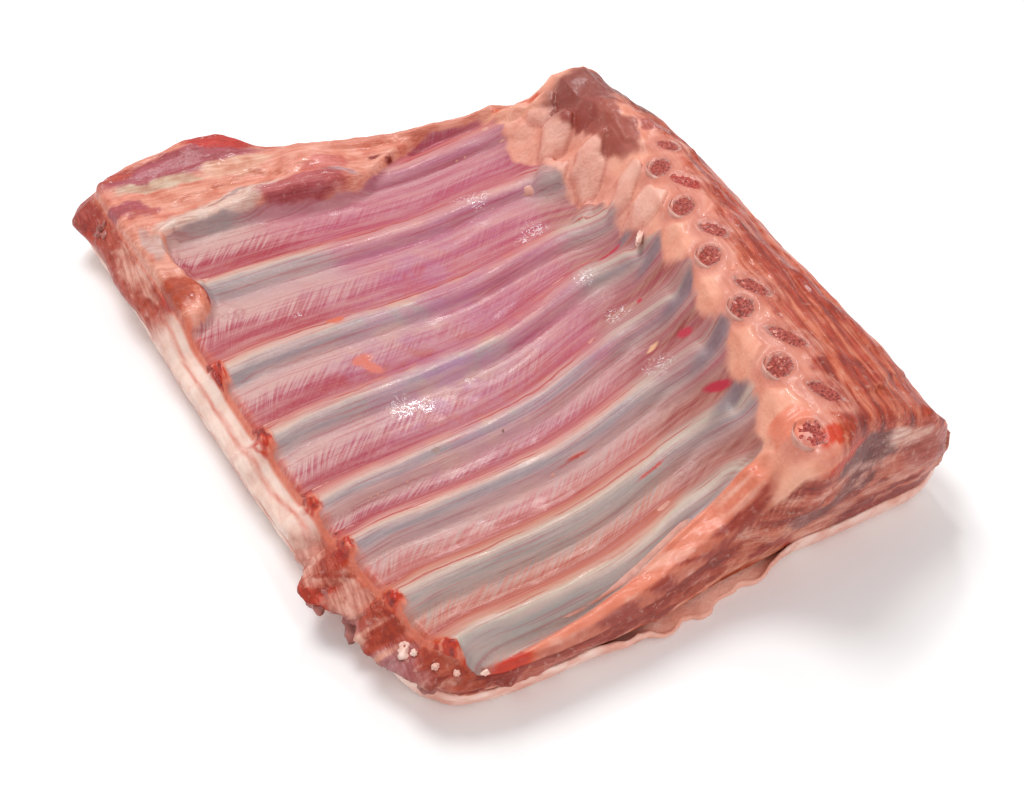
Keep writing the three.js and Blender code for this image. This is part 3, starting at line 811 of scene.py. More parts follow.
def lobe_height(x, y):
    """Domes of fat side by side: the highest of their half ellipsoids, which meet in creases."""
    height = np.zeros(np.shape(x))
    for at_x, at_y, half_length, half_width, turn, rise in LOBES:
        q = oval_distance(x, y, (at_x, at_y, half_length, half_width, turn))
        height = np.maximum(height, rise * np.sqrt(np.maximum(0, 1 - q**2)))
    return height


def rim_share(x, d):
    """1 on the band of flesh along the near edge, from the sawn ends to the nose under the crest."""
    reach = rim_reach(x)
    return smooth(reach + 0.8, reach - 1.2, d["near"]) * smooth(-52, -30, x) * smooth(60, 54, x)


def hollow_relief(x, y, past, skirt):
    """Ribs under their skin with dips between them, both fading before the crest, fans of muscle at its foot
    and pockets where the ribs go under it."""
    rows = rib_rows(x, y)
    in_hollow = smooth(-4, -12, past) * (1 - skirt)
    between = np.sin(np.pi * (rows % 1)) ** 2
    streaks = layered(x / 22, rows * 4.5, 0, 11)
    valley = -0.5 - 0.9 * between + 0.5 * streaks
    ribs = rib_crowns(x, y) + 0.25 + 0.15 * streaks
    foot = bell(past + 14, 9) * (1 - skirt) * smooth(85, 65, y)
    pocket = bell(past - skin_ends(y) + 2.5, 2.2) * (1 - between) ** 2 * (1 - skirt) * smooth(60, 45, y)
    return soft_max(valley, ribs, 1.2) * in_hollow + foot * (1.1 - 2.2 * between) - 2.4 * pocket


def crest_relief(x, y, past, calm):
    """A rounded edge where the skin ends, soft swells along the crest and strands on the sawn face."""
    edge = 0.9 * bell(past - skin_ends(y) - 4, 4) * smooth(125, 110, y)
    swells = 1.1 * bell(past, 8) * layered(x / 9, y / 9, 0, 31, 2)
    strands = 0.7 * layered(x / 3.4, y / 14, 0, 41) - 0.4 * smooth(13, 16, past)
    return calm * (edge + swells + smooth(2, 8, past) * strands)


def rim_relief(x, y, d, skirt):
    """Waves of the midriff, the near edge's band of flesh with a groove inside it, and crumbs at the ribs'
    sawn ends."""
    waves = 0.7 * layered(x / 15, y / 10, 0, 51) + 0.2 * layered(x / 3, y / 3, 0, 54)
    band = rim_share(x, d) * (0.7 + 0.5 * layered(x / 7, y / 3, 0, 57))
    groove = bell(d["near"] - rim_reach(x) - 0.5, 1.3) * smooth(-45, -25, x) * smooth(52, 46, x)
    crumbs = 0.4 + 1.1 * layered(x / 1.5, y / 1.5, 0, 58, 2)
    return skirt * waves + band - 1.2 * groove + rib_end_share(x, y, d) * (1 - skirt) * crumbs


def layer_relief(x, y, calm):
    """Lobes, folds and ledges of fat, drawn with wavy outlines."""
    z = lobe_height(*warped(x, y, 2.4, 8, 63))
    wavy_x, wavy_y = warped(x, y, 1.6, 9, 61)
    for x0, y0, x1, y1, height, radius in FOLDS:
        z = z + height * bell(segment_distance(wavy_x, wavy_y, (x0, y0, x1, y1)), radius) * calm
    for ledge in LEDGES:
        z = z + ledge_height(wavy_x, wavy_y, ledge)
    return z


def top_relief(x, y, d, placed):
    """The visible top: the solid's with the relief of the hollow, the crest, the rims and the layers of fat
    added, calm round the bones of the sawn face, each of which has a low collar and lies in a well."""
    past = x - crest_line(y)
    skirt = skirt_share(x, y)
    calm = 1 - bone_share(*placed, 2.5)
    z = top_height(x, y) + hollow_relief(x, y, past, skirt) + crest_relief(x, y, past, calm)
    z = z + rim_relief(x, y, d, skirt) + layer_relief(*placed, calm)
    z = z + BONE_COLLAR * bone_share(*placed, 1.6) - (BONE_COLLAR + BONE_WELL) * bone_share(*placed, -0.7)
    return z - drop_at(d, TOP_ROUND)


def wall_relief(x, y, z, w, out_x, out_y):
    """How far folds and torn layers stand out of the walls: noises drawn out along the wall, deeper in the
    near and left ones, and a gap over the loose flap."""
    torn = np.maximum(smooth(0.2, 0.8, -out_y), smooth(0.2, 0.8, -out_x) * smooth(20, -20, y))
    folds = 1.2 * layered(x / 13, y / 13, z / 3.4, 71) + 0.5 * layered(x / 4, y / 4, z / 1.6, 74, 2)
    gap = 0.8 * bell(w - 0.06, 0.05) * smooth(26, 34, x) * smooth(54, 46, x) * smooth(0.5, 0.9, -out_y)
    rough = 1.5 * layered(x / 4, y / 4, z / 3, 77) * smooth(-16, -34, y) * smooth(-10, -30, x)
    return (folds * lerp(0.3, 1.0, torn) + rough) * np.sin(np.pi * w) ** 1.4 - gap


# Patches of colour on the top: x, y, half length, half width, turn in degrees, and colour.
TOP_PATCHES = (
    (-73, 144, 29, 7, 2, "ad626a"), (-54, 152, 15, 4, -5, "c4514c"), (-98, 148, 11, 4.5, 0, "bf655b"),
    (-80, 136, 15, 3.8, -8, "d3b9a5"), (-52, 137, 13, 5.5, 0, "e8bda9"), (-72, 127, 19, 5.5, 5, "e7ab99"),
    (-94, 126, 8, 4, -20, "b4666c"), (-88, 121, 6, 2.5, 10, "c07470"), (-88, 98, 20, 7, -82, "e8ae9d"),
    (-88, 103, 9, 3.5, -80, "d2b2aa"), (-85, 76, 10, 8, 15, "b9604e"), (-74, 69, 10, 3.5, -52, "e29b88"),
    (-73, 71, 7, 1.1, -50, "a4504a"), (-63, 116, 23, 6, 15, "ead4c9"), (-70, 110, 9, 1.8, 15, "a89a9d"),
    # The patches at -34, 117 and -36, 114 are painted shadow under the roll of midriff.
    (-78, 107.5, 3.5, 1.6, 10, "8f4f4e"), (-60, 121, 10, 0.8, 30, "b9a29e"), (-34, 117, 16, 5, 3, "bf7374"),
    (-36, 114, 12, 1.6, 3, "ae6064"), (-28, 131, 21, 8, 0, "edb1a1"), (-24, 126, 9, 4.5, 10, "dc928b"),
    (-20, 120.5, 7, 1.5, -15, "c19a9c"), (-4, 125, 12, 6, 25, "edb2a2"), (-5, 128, 1.8, 1.3, 20, "86342f"),
    (0, 127, 1.4, 1.2, 0, "86342f"), (12, 140, 50, 5, -2, "e6a797"), (-6, 147, 34, 2.5, -2, "bd6d62"),
    (50, 128, 14, 6.5, -42, "f0b7a4"), (49, 131, 9, 2.2, -42, "dd8370"), (76, 104, 25, 13, -38, "91524b"),
    (66, 85, 19, 5, 98, "ab685e"), (62, 100, 8, 4, -60, "9c564e"), (80, 84, 18, 3.5, -62, "c98474"),
    (78, 75, 8, 4, -60, "b56a62"), (61, -69, 5, 2.5, 15, "d4523f"), (55, -60, 5, 5, 0, "f2a390"),
    (86, -58, 7, 5, -10, "d08270"), (-36, -82, 12, 3, -5, "cf4433"),
)
# Marks on the hollow's skin, in the same way.
HOLLOW_MARKS = (
    (-40.1, 51.4, 2.8, 2.3, 0, "d0664c"), (-36.2, 33.6, 3.4, 2.6, 20, "cf6c5a"),
    (-34.4, 29.5, 4.2, 1.9, -50, "cd6756"), (-27.3, -12.3, 1.6, 0.9, 20, "94756c"),
    (38.5, 46.6, 6, 0.9, 14, "c43a56"), (49.5, 44.5, 4.5, 1.2, 18, "b82842"),
    (48.8, 19.2, 0.8, 1.0, 0, "c02c44"), (51.9, -5.2, 2.4, 1.1, -60, "c43448"),
    (50.8, -28.9, 4.2, 1.3, -60, "b81f38"), (8.4, -27.2, 5.2, 0.45, 16, "b8453e"),
    (25.5, -41.8, 5.6, 0.5, 18, "b8453e"), (44.9, 0.5, 2.0, 0.8, 15, "e3ab84"),
    (30.9, 25.6, 0.4, 0.4, 0, "4a3036"), (5.9, -15.7, 0.6, 0.8, 0, "c02c44"),
    (-6.6, -10.6, 0.5, 0.5, 0, "55363a"),
)
# Crinkled wet film, with painted highlights of thin white lines and a raised coat: x, y and radius.
WET_GLINT_SPOTS = (
    (-31, 10, 5), (-24, 9, 4), (22, 96, 5), (16, 99, 4), (35, 74, 5), (30, 70, 4), (39, 40, 4),
    (42, 20, 5), (43, -8, 5), (-8, 15, 2), (-50, 60, 2), (-34, 34, 1.5),
)
# Grey pockets of painted shade where the ribs go under the crest: x, y, half length, half width and turn.
SHADED_POCKETS = (
    (52, -36, 6.5, 2.8, 12), (55, -17, 7, 3, 12), (57, 6.3, 7, 3, 12), (57, 29, 5, 2.4, 12),
    (48.5, -60, 5, 2.6, 15), (56, 46, 4, 2, 20),
)


def oval_distance(x, y, oval):
    """Distance from the middle of a turned oval, as a share of its radius in that direction."""
    at_x, at_y, half_length, half_width, turn = oval
    cos, sin = math.cos(math.radians(turn)), math.sin(math.radians(turn))
    along = (x - at_x) * cos + (y - at_y) * sin
    aside = (y - at_y) * cos - (x - at_x) * sin
    return np.hypot(along / half_length, aside / half_width)


def patch_share(x, y, patch, ease=0.18):
    """1 in a turned oval, easing to 0 round its outline."""
    return smooth(1 + ease, 1 - ease, oval_distance(x, y, patch))


def laid(paint, colour, share):
    """A painted colour with another laid over it by a share."""
    return paint + (np.array(srgb(colour)) - paint) * np.asarray(share)[..., None]


def bone_share(x, y, margin):
    """1 on the bones of the sawn face and a margin round them."""
    ovals = [
        (at_x, at_y, half + margin, CHINE_HALF_THICKNESS + margin, math.degrees(CHINE_TURN))
        for at_x, at_y, half in CHINE_BONES
    ]
    for head_y in RIB_HEAD_Y[:HIDDEN_FROM]:
        head_x = crest_line(head_y) + HEAD_FROM_CREST
        ovals.append((head_x, head_y, HEAD_HALF_DEPTH + margin, HEAD_HALF_WIDTH + margin, 0))
    return np.max([patch_share(x, y, oval) for oval in ovals], axis=0)


def paint_strings(paint, x, z, share):
    """Lays strings of muscle and fat along X over the paint, by a share."""
    string = layered(x / 13, z / 1.7, 0, 221)
    paint = laid(paint, "cc8474", share)
    paint = laid(paint, "9f534b", share * smooth(0.1, 0.6, string))
    return laid(paint, "e6b1a2", share * smooth(-0.15, -0.6, string))


def paint_rims(paint, x, y, d, skirt):
    """The midriff, the near edge's band of flesh, the left edge and the bloody fringe of the sawn ends."""
    paint = laid(paint, "ecac9c", skirt)
    rim = rim_share(x, d)
    paint = laid(paint, "ec9f8c", rim)
    paint = laid(paint, "f4bcab", rim * smooth(0.1, 0.6, noise(x / 6, y / 2.2, 0, 205)))
    outer = smooth(0.34, 0.2, d["near"] / rim_reach(x)) * smooth(-30, -10, x) * smooth(56, 48, x)
    paint = paint_strings(paint, x, y, outer)
    paint = laid(paint, "ea9684", smooth(4, 1, d["left"]) * (1 - skirt))
    fringe = rib_end_share(x, y, d) * (1 - skirt)
    crumbs = layered(x / 1.1, y / 1.1, 0, 207, 2)
    paint = laid(paint, "cc4c3e", fringe)
    paint = laid(paint, "8f2b25", fringe * smooth(0.1, 0.7, crumbs))
    return laid(paint, "f2a796", fringe * smooth(-0.3, -0.8, crumbs))


def paint_face(paint, x, y, d, past):
    """The pale crest, the sawn face with its strands and bones, and the salmon band beside the loin."""
    paint = laid(paint, "fbc0ab", smooth(-6, -1, past))
    paint = laid(paint, "eaa593", smooth(3, 6, past))
    strand = layered(x / 2.4, y / 16, 0, 209)
    paint = laid(paint, "c46d60", smooth(10.5, 13.5, past))
    paint = laid(paint, "9c483d", smooth(10.5, 13.5, past) * smooth(0.15, 0.8, strand))
    paint = laid(paint, "de937f", smooth(10.5, 13.5, past) * smooth(-0.1, -0.7, strand))
    paint = laid(paint, "e6a696", bone_share(x, y, 3.2))
    paint = laid(paint, "d08a7d", 0.6 * bone_share(x, y, 1.2))
    paint = laid(paint, "eba08d", smooth(14, 9, d["right"] + 2.5 * strand) * smooth(0, 4, past))
    return laid(paint, "ab6a62", smooth(4, 1, d["right"]) * smooth(0, 4, past))


def paint_lobes(paint, x, y):
    """The lobes of fat, paler than what is round them, with painted shade in the creases between them."""
    lobe_x, lobe_y = warped(x, y, 2.4, 8, 63)
    for *lobe, _ in LOBES:
        paint = laid(paint, "f5c6b8", 0.7 * patch_share(lobe_x, lobe_y, lobe, 0.3))
        crease_shade = bell(oval_distance(lobe_x, lobe_y, lobe) - 1.02, 0.08)
        paint = laid(paint, "d58a7d", 0.6 * crease_shade)
    return paint


def paint_top(x, y, d):
    """Colours of the top outside the hollow's skin, and how lean each point is: the rims, the crest and the
    sawn face, the lobes of fat, and patches over them."""
    past = x - crest_line(y) + 1.6 * layered(x / 12, y / 8, 0, 201, 2)
    skirt = skirt_share(x, y)
    paint = np.broadcast_to(np.array(srgb("f0b6a6")), (*np.shape(x), 4)).copy()
    paint = paint_rims(paint, x, y, d, skirt)
    paint = paint_face(paint, x, y, d, past)
    paint = paint_lobes(paint, x, y)
    wavy_x, wavy_y = warped(x, y, 1.4, 5, 213)
    for *shape, colour in TOP_PATCHES:
        paint = laid(paint, colour, patch_share(wavy_x, wavy_y, shape))
    lean = 0.2 + 0.8 * smooth(10, 15, past) - 0.2 * bell(past, 5) + 0.3 * skirt
    return paint, lean


def stains(x, y, paint):
    """The paint with the colour of each mark laid over it, well past the mark's edge."""
    for *shape, colour in HOLLOW_MARKS:
        paint = laid(paint, colour, oval_distance(x, y, shape) < 1.8)
    return paint


def rib_end_share(x, y, d):
    """1 on the bloody fringe at the ribs' sawn ends."""
    ragged_edge = d["left"] + 0.9 * layered(x / 1.6, y / 1.6, 0, 231)
    on_rib = smooth(0.35, 0.9, np.cos(2 * np.pi * (rib_rows(x, y) + FRINGE_SHIFT)))
    return smooth(4.2, 2.6, ragged_edge) * on_rib * smooth(95, 75, y)


def hollow_share(x, y, d):
    """1 on the hollow's skin, which ends at the crest, the midriff and the rims, further on over the ribs."""
    rows = rib_rows(x, y)
    end = skin_ends(y) + 1.2 * np.cos(2 * np.pi * rows) + 1.2 * layered(x / 6, y / 6, 0, 229)
    past = x - crest_line(y)
    share = smooth(end + 2, end - 2, past) * smooth(0.6, 0.2, skirt_share(x, y)) * (1 - rim_share(x, d))
    return share * smooth(0.2, 1.4, d["left"]) * (1 - rib_end_share(x, y, d))


def top_fields(x, y, d, placed):
    """What the meat's material reads on the top: fibre directions, the hollow's shares and the paint."""
    past = x - crest_line(y)
    rows = rib_rows(x, y)
    paint, lean = paint_top(*placed, d)
    on_rib = smooth(0.2, 1, np.cos(2 * np.pi * rows))
    return {
        "fibre": np.stack([x, rows * RIB_PITCH, np.zeros_like(x)], -1),
        "along_y": smooth(-2, 3, past) * (1 - rim_share(x, d)),
        "mark": np.max([patch_share(x, y, shape, 0.6) for *shape, _ in HOLLOW_MARKS], axis=0),
        "hollow": hollow_share(x, y, d),
        "foot": smooth(-36, -16, past) * smooth(6.6, 5.6, rows),
        "depth": muscle_depth(rows) * lerp(0.3, 1, smooth(20, -40, x)),
        "bone": 0.1 + 0.9 * smooth(bone_shows_to(rows) + 18, bone_shows_to(rows) - 14, x),
        "lilac": bell(rows - 4.4, 1.8) * bell(x + 10, 34),
        # Where the pockets' painted shade lies.
        "pocket": 0.9 * np.max([patch_share(x, y, pocket, 0.5) for pocket in SHADED_POCKETS], axis=0),
        "glow": smooth(6.5, 0.5, d["left"]) * (0.5 + 0.5 * on_rib),
        # Spots of wet film with painted highlights.
        "wet": np.max([bell(np.hypot(x - wx, y - wy), radius) for wx, wy, radius in WET_GLINT_SPOTS], axis=0),
        "paint": paint,
        "stain": stains(x, y, paint),
        "lean": lean,
    }


# Patches on the near wall: x, height, half length, half height, turn and colour.
NEAR_PATCHES = (
    (8, 15, 34, 3, 9, "a65a50"), (30, 24, 12, 4, 30, "96493f"), (-20, 12, 12, 3, 0, "bd786d"),
    (20, 8, 42, 3.2, 5, "eaa995"), (24, 12, 24, 1.2, 12, "b56a5c"), (48, 14, 13, 9, 22, "e2a795"),
    (48, 15, 6, 3.6, 35, "a5504a"), (54, 12, 2.2, 4.5, 30, "b9655c"), (57, 24, 5, 8, 20, "9a6560"),
    # The thin patch at x 40, height 5.5 is painted shadow of the gap over the loose flap.
    (40, 5.5, 9, 0.8, 6, "b3502f"), (78, 40, 15, 7.5, -12, "7f4e4a"), (70, 28, 14, 5, 25, "8c5a55"),
    (74, 36, 9, 1.0, -20, "c59a90"), (80, 31, 12, 1.0, 18, "d3a196"), (91, 39, 8, 5, -20, "e6c4b8"),
    (100, 28, 12, 6, -20, "b8736a"), (86, 20, 16, 2.2, 8, "e0a99b"), (88, 12, 18, 6, 5, "984741"),
    (94, 15, 14, 1.0, 8, "dc9c8e"), (66, 48, 10, 3, 0, "d65a47"),
)
# Patches on the left wall: y, height, half length, half height, turn and colour.
LEFT_PATCHES = (
    (-42, 10, 7, 5, 0, "c9655a"), (-56, 10, 8, 5, 0, "bd7d76"), (-72, 12, 7, 4, 0, "bd8a8c"),
    (-64, 6, 14, 2.5, 0, "c47466"), (-50, 15, 5, 2, 0, "e0ab9d"), (-60, 13, 1.5, 4, 0, "e6b7a8"),
    (-67, 10, 1.2, 5, 0, "e6b7a8"), (-78, 8, 6, 4, 0, "b0625a"),
    (102, 12, 18, 5, 0, "bd6e65"), (138, 14, 12, 7, 0, "b05c55"),
    (120, 10, 26, 1.5, 6, "ecc9bb"), (128, 15, 8, 2, 0, "c86a60"),
)


def paint_walls(x, y, z, w, out_x, out_y):
    """Colours of the walls, and how lean they are: each side has its own flesh and fat, and patches."""
    near, left = smooth(0.35, 0.85, -out_y), smooth(0.35, 0.85, -out_x)
    far, right = smooth(0.35, 0.85, out_y), smooth(0.35, 0.85, out_x)
    band = layered(x / 14, y / 14, z / 2.6, 221)
    paint = np.broadcast_to(np.array(srgb("cf8a7b")), (len(x), 4)).copy()
    paint = paint_strings(paint, x, z, near)
    pale = left * smooth(-34, -18, y) * smooth(80, 62, y)
    paint = laid(paint, "be6c60", left * (1 - pale))
    paint = laid(paint, "e5b3a5", left * (1 - pale) * smooth(0.1, 0.6, band))
    paint = laid(paint, "fbe2d6", pale)
    on_rib = smooth(0.5, 0.95, np.cos(2 * np.pi * (rib_rows(x, y) + FRINGE_SHIFT))) * smooth(95, 75, y)
    paint = laid(paint, "ee9d8b", left * smooth(0.88, 0.97, w))
    paint = laid(paint, "dc8173", 0.8 * pale * bell(w - 0.72 - 0.06 * layered(y / 20, 0, 0, 233), 0.035))
    paint = laid(paint, "c4463a", left * smooth(0.8, 0.95, w + 0.2 * band) * on_rib)
    paint = laid(paint, "c58475", right)
    paint = laid(paint, "e2ab9c", right * smooth(0.5, 0.2, w))
    paint = laid(paint, "ba7468", far)
    paint = laid(paint, "e4ad9e", far * smooth(-0.1, -0.6, band))
    warp_y, warp_z = warped(y, z, 1.0, 3.5, 225)
    warp_x, _ = warped(x, z, 1.4, 4, 227)
    for *shape, colour in NEAR_PATCHES:
        paint = laid(paint, colour, near * patch_share(warp_x, warp_z, shape))
    for *shape, colour in LEFT_PATCHES:
        paint = laid(paint, colour, left * patch_share(warp_y, warp_z, shape))
    return paint, np.clip(0.8 - 0.7 * pale + 0.2 * band, 0, 1)


def wall_fields(x, y, z, w, out_x, out_y):
    """What the meat's material reads on the walls."""
    paint, lean = paint_walls(x, y, z, w, out_x, out_y)
    unused = ("mark", "hollow", "foot", "depth", "bone", "lilac", "pocket", "glow", "wet")
    return {
        **dict.fromkeys(unused, np.zeros(len(x))),
        "fibre": np.stack([x, rib_rows(x, y) * RIB_PITCH, z], -1),
        "along_y": smooth(0.3, 0.9, np.abs(out_x)),
        "paint": paint,
        "stain": paint,
        "lean": lean,
    }


def loose_share(x):
    """1 along the part of the near side where the flap of fat lies loose."""
    return smooth(LOOSE_FROM, LOOSE_FULL, x) * smooth(LOOSE_TO, LOOSE_FADES, x)


def meat_under(x, d):
    """Height of the meat's underside, which hangs down over the loose flap."""
    hem = HEM_REACH * loose_share(x) * smooth(*HEM_DEPTH, d["near"])
    return FAT_THICKNESS + drop_at(d, UNDER_ROUND) * (1 - hem)


def meat_skin():
    """Points, faces and attributes of the meat: a fine grid over the plan for the top, rows of walls below
    its rim that lean, bulge and fold, and a plain underside."""
    hollow = CREST_SHARE * stations(SKIN_HOLLOW_CELLS, SKIN_CROWDING)
    face = CREST_SHARE + (1 - CREST_SHARE) * stations(SKIN_FACE_CELLS, FACE_CROWDING)[1:]
    lines = stations(SKIN_LONG_CELLS, SKIN_CROWDING)
    u, v = np.meshgrid(np.concatenate([hollow, face]), lines, indexing="ij")
    columns = under_columns(len(u) - 1, SKIN_UNDER_CELLS)
    faces, i, j = block_faces(len(u) - 1, SKIN_LONG_CELLS, SKIN_WALL_CELLS, columns)
    x, y, d = plan_points(u, v)
    push_x, push_y = wall_push(d, x, y, np.ones_like(x))
    placed = (x + push_x, y + push_y)
    top = top_relief(x, y, d, placed)
    points = [np.stack([*placed, top], -1).reshape(-1, 3)]
    fields = [top_fields(x, y, d, placed)]

    rim_x, rim_y, rim_top = x[i, j], y[i, j], top[i, j]
    rim_d = {side: distance[i, j] for side, distance in d.items()}
    out_x, out_y = outward(rim_x, rim_y)
    under = meat_under(rim_x, rim_d)
    for w in np.linspace(1, 0, SKIN_WALL_CELLS + 1)[1:]:
        z = lerp(under, np.maximum(rim_top, under + LEAST_THICKNESS), w)
        push_x, push_y = wall_push(rim_d, rim_x, rim_y, w)
        relief = wall_relief(rim_x, rim_y, z, w, out_x, out_y)
        points.append(np.stack([rim_x + push_x + relief * out_x, rim_y + push_y + relief * out_y, z], -1))
        fields.append(wall_fields(rim_x, rim_y, z, w, out_x, out_y))

    below_x, below_y = x[columns[1:-1], 1:-1].ravel(), y[columns[1:-1], 1:-1].ravel()
    below = meat_under(x, d)[columns[1:-1], 1:-1].ravel()
    points.append(np.stack([below_x, below_y, below], -1))
    fields.append(wall_fields(below_x, below_y, below, 0, np.zeros_like(below), np.zeros_like(below)))
    attributes = {}
    for key, values in fields[0].items():
        width = values.shape[2:] if values.ndim > 2 else ()
        attributes[key] = np.concatenate([field[key].reshape(-1, *width) for field in fields])
    return np.vstack(points), faces, attributes


CAP_SHARES = (0.97, 0.92, 0.85, 0.76, 0.64, 0.5, 0.34, 0.17)


def closed_tube(middles, across, up, half_width, half_depth, sides, relief):
    """A tube of oval sections along a path, with a cap on both ends: rings at shares of the section's size
    and a middle point, moved along the path by relief(share, angle). Also 1 on the caps' middles and 0 on the
    rest, and which points lie in the last ring and its cap."""
    angle = np.linspace(0, 2 * np.pi, sides, endpoint=False)
    spokes = (
        half_width[:, None, None] * np.cos(angle)[None, :, None] * across[:, None, :]
        + half_depth[:, None, None] * np.sin(angle)[None, :, None] * up[:, None, :]
    )
    shares = np.append(CAP_SHARES, 0)[:, None]
    count = len(middles)
    points = [(middles[:, None, :] + spokes).reshape(-1, 3)]
    rings = np.arange(count * sides).reshape(count, sides)
    quads = [np.stack([rings[:-1], np.roll(rings, -1, 1)[:-1], np.roll(rings, -1, 1)[1:], rings[1:]], -1)]
    first = count * sides
    triangles = []
    for end, inner in ((0, 1), (-1, -2)):
        away = unit(middles[end] - middles[inner])
        along = np.cross(across[end], up[end])
        along = along * np.sign(np.dot(along, away))
        cap = middles[end] + shares[:, :, None] * spokes[end][None]
        cap = cap + relief(shares, angle[None, :])[..., None] * along
        points += [cap[:-1].reshape(-1, 3), cap[-1, :1]]
        rows = np.vstack([rings[end], first + np.arange(len(CAP_SHARES) * sides).reshape(-1, sides)])
        centre = first + len(CAP_SHARES) * sides
        turned = np.roll(rows, -1, 1)
        quad = np.stack([rows[:-1], rows[1:], turned[1:], turned[:-1]], -1)
        fan = np.stack([rows[-1], np.full(sides, centre), turned[-1]], -1)
        quads.append(quad if end == 0 else quad[..., ::-1])
        triangles.append(fan if end == 0 else fan[:, ::-1])
        first = centre + 1
    marrow = np.append(np.repeat(smooth(1.02, 0.45, np.array(CAP_SHARES)), sides), 1)
    faces = np.vstack([q.reshape(-1, 4) for q in quads]).tolist() + np.vstack(triangles).tolist()
    end_face = np.concatenate([rings[-1], np.arange(first - len(marrow), first)])
    return np.vstack(points), faces, np.concatenate([np.zeros(count * sides), marrow, marrow]), end_face


def rib_path(k):
    """Points along the middle of rib k: level with the hollow, then under the crest and up to its sawn face.
    The curve is a Hermite spline over the square roots of its chords."""
    line, start, crest = rib_line(k), left_edge(RIB_END_Y[k]), crest_line(RIB_HEAD_Y[k])
    x = lerp(start + SAWN_FACE, crest - DIVE_FROM_CREST, np.linspace(0, 1, LEVEL_STEPS + 1))
    y = line(x)
    skirt = skirt_share(x, y)
    fade = np.maximum(smooth(crest - FADE_FROM_CREST, crest - DIVE_FROM_CREST, x), skirt)
    z = top_height(x, y) - SKIRT_THICKNESS * skirt - RIB_SUNK - RIB_FADE * fade - BONE_UNDER_SKIN * fade
    z = z - SAWN_END_SUNK * smooth(SAWN_SHEAR, 0, x - x[0])
    head_x = crest + HEAD_FROM_CREST
    face = top_height(head_x, RIB_HEAD_Y[k])
    approach = HEAD_APPROACH if k < HIDDEN_FROM else HIDDEN_APPROACH
    ends = [(head_x - back, RIB_HEAD_Y[k], face - below) for back, below in approach]
    knots = np.vstack([np.stack([x, y, z], -1), np.array(ends)])
    steps = np.sqrt(np.linalg.norm(np.diff(knots, axis=0), axis=1))
    at = np.concatenate([[0], np.cumsum(steps)])
    fine = np.linspace(0, at[-1], FINE_STEPS)
    dense = np.stack([through(np.stack([at, knots[:, axis]], -1))(fine) for axis in range(3)], -1)
    length = np.concatenate([[0], np.cumsum(np.linalg.norm(np.diff(dense, axis=0), axis=1))])
    even = stations(RIB_RINGS, 0.5) * length[-1]
    return np.stack([np.interp(even, length, dense[:, axis]) for axis in range(3)], -1), even / length[-1]


def draped(points, level):
    """Heights of level points when they are laid onto the sawn face, which falls off at its near end."""
    start, end, fall = NEAR_FACE_FALL
    face = top_height(points[:, 0], points[:, 1]) - fall * smooth(start, end, points[:, 1])
    return points[:, 2] + face + BONE_FACE_PROUD - level


def pitted(q, angle, stretch, seed, depth):
    """Relief of a cut through spongy bone: a dip with pits inside a low rim."""
    pits = noise(6 * q * np.cos(angle), 6 * stretch * q * np.sin(angle), seed + 0.5, 83)
    return smooth(1, 0.8, q) * (depth * pits - 0.25)


def rib_bone(k):
    """Rib k: an oval tube along its path, sawn along the left edge, with pitted marrow on both ends. The head
    of a rib that shows lies in the sawn face."""
    middles, share = rib_path(k)
    along = unit(np.gradient(middles, axis=0))
    sawn = smooth(SAWN_SHEAR, 0, middles[:, 0] - middles[0][0])[:, None]
    along = unit(lerp(along, np.array([1.0, 0, 0]), sawn))
    along[-1] = (0, 0, 1)
    across = unit(np.array([0.0, 1, 0]) - along * along[:, 1:2])
    up = np.cross(along, across)
    head = smooth(HEAD_SHARE, 1, share)
    knobs = 1 + 0.03 * noise(share * 9, k * 3.3, 0, 81)
    points, faces, marrow, end_face = closed_tube(
        middles, across, up, lerp(RIB_HALF_WIDTH, HEAD_HALF_WIDTH, head) * knobs,
        lerp(RIB_HALF_DEPTH, HEAD_HALF_DEPTH, head) * knobs, RIB_SIDES,
        lambda q, angle: pitted(q, angle, 1, k, 0.6),
    )
    if k < HIDDEN_FROM:
        points[end_face, 2] = draped(points[end_face], middles[-1][2])
    reach = points[:, 0] - middles[0][0]
    points[:, 0] += (left_edge(points[:, 1]) - left_edge(middles[0][1])) * smooth(SAWN_SHEAR, 0, reach)
    bloody = smooth(BLOODY_LENGTH + 2, BLOODY_LENGTH - 1, reach)
    if k == BLOODY_HEAD:
        bloody[end_face] = BLOODY_HEAD_SHARE
    return points, faces, {"marrow": marrow, "bloody": bloody}


def chine_bone(index):
    """A slice of backbone: an oval post, narrower below, whose pitted cut face lies in the sawn face."""
    x, y, half_length = CHINE_BONES[index]
    t = stations(CHINE_RINGS, 0.4)
    level = top_height(x, y)
    middles = np.stack([x + CHINE_LEAN * (1 - t), np.full_like(t, y), level - CHINE_DEPTH * (1 - t)], -1)
    across = np.tile([math.cos(CHINE_TURN), math.sin(CHINE_TURN), 0.0], (len(t), 1))
    up = np.cross([0, 0, 1.0], across)
    points, faces, marrow, end_face = closed_tube(
        middles, across, up, half_length * lerp(CHINE_FOOT, 1, t),
        CHINE_HALF_THICKNESS * lerp(CHINE_FOOT_THICKNESS, 1, t), CHINE_SIDES,
        lambda q, angle: pitted(q, angle, 0.5, index + 20, 0.5),
    )
    points[end_face, 2] = draped(points[end_face], level)
    bloody = np.full(len(points), BLOODY_SLICE_SHARE if index == BLOODY_SLICE else 0.0)
    return points, faces, {"marrow": marrow, "bloody": bloody}


# The cover's grid, in the same way, and how rosy its loose flap is.
FAT_ACROSS_CELLS = 260
FAT_LONG_CELLS = 80
FAT_WALL_ROWS = 4
FAT_UNDER_CELLS = 52
FAT_ACROSS_CROWDING = 0.4
FAT_LONG_CROWDING = 0.9
FLAP_ROSY = 0.8


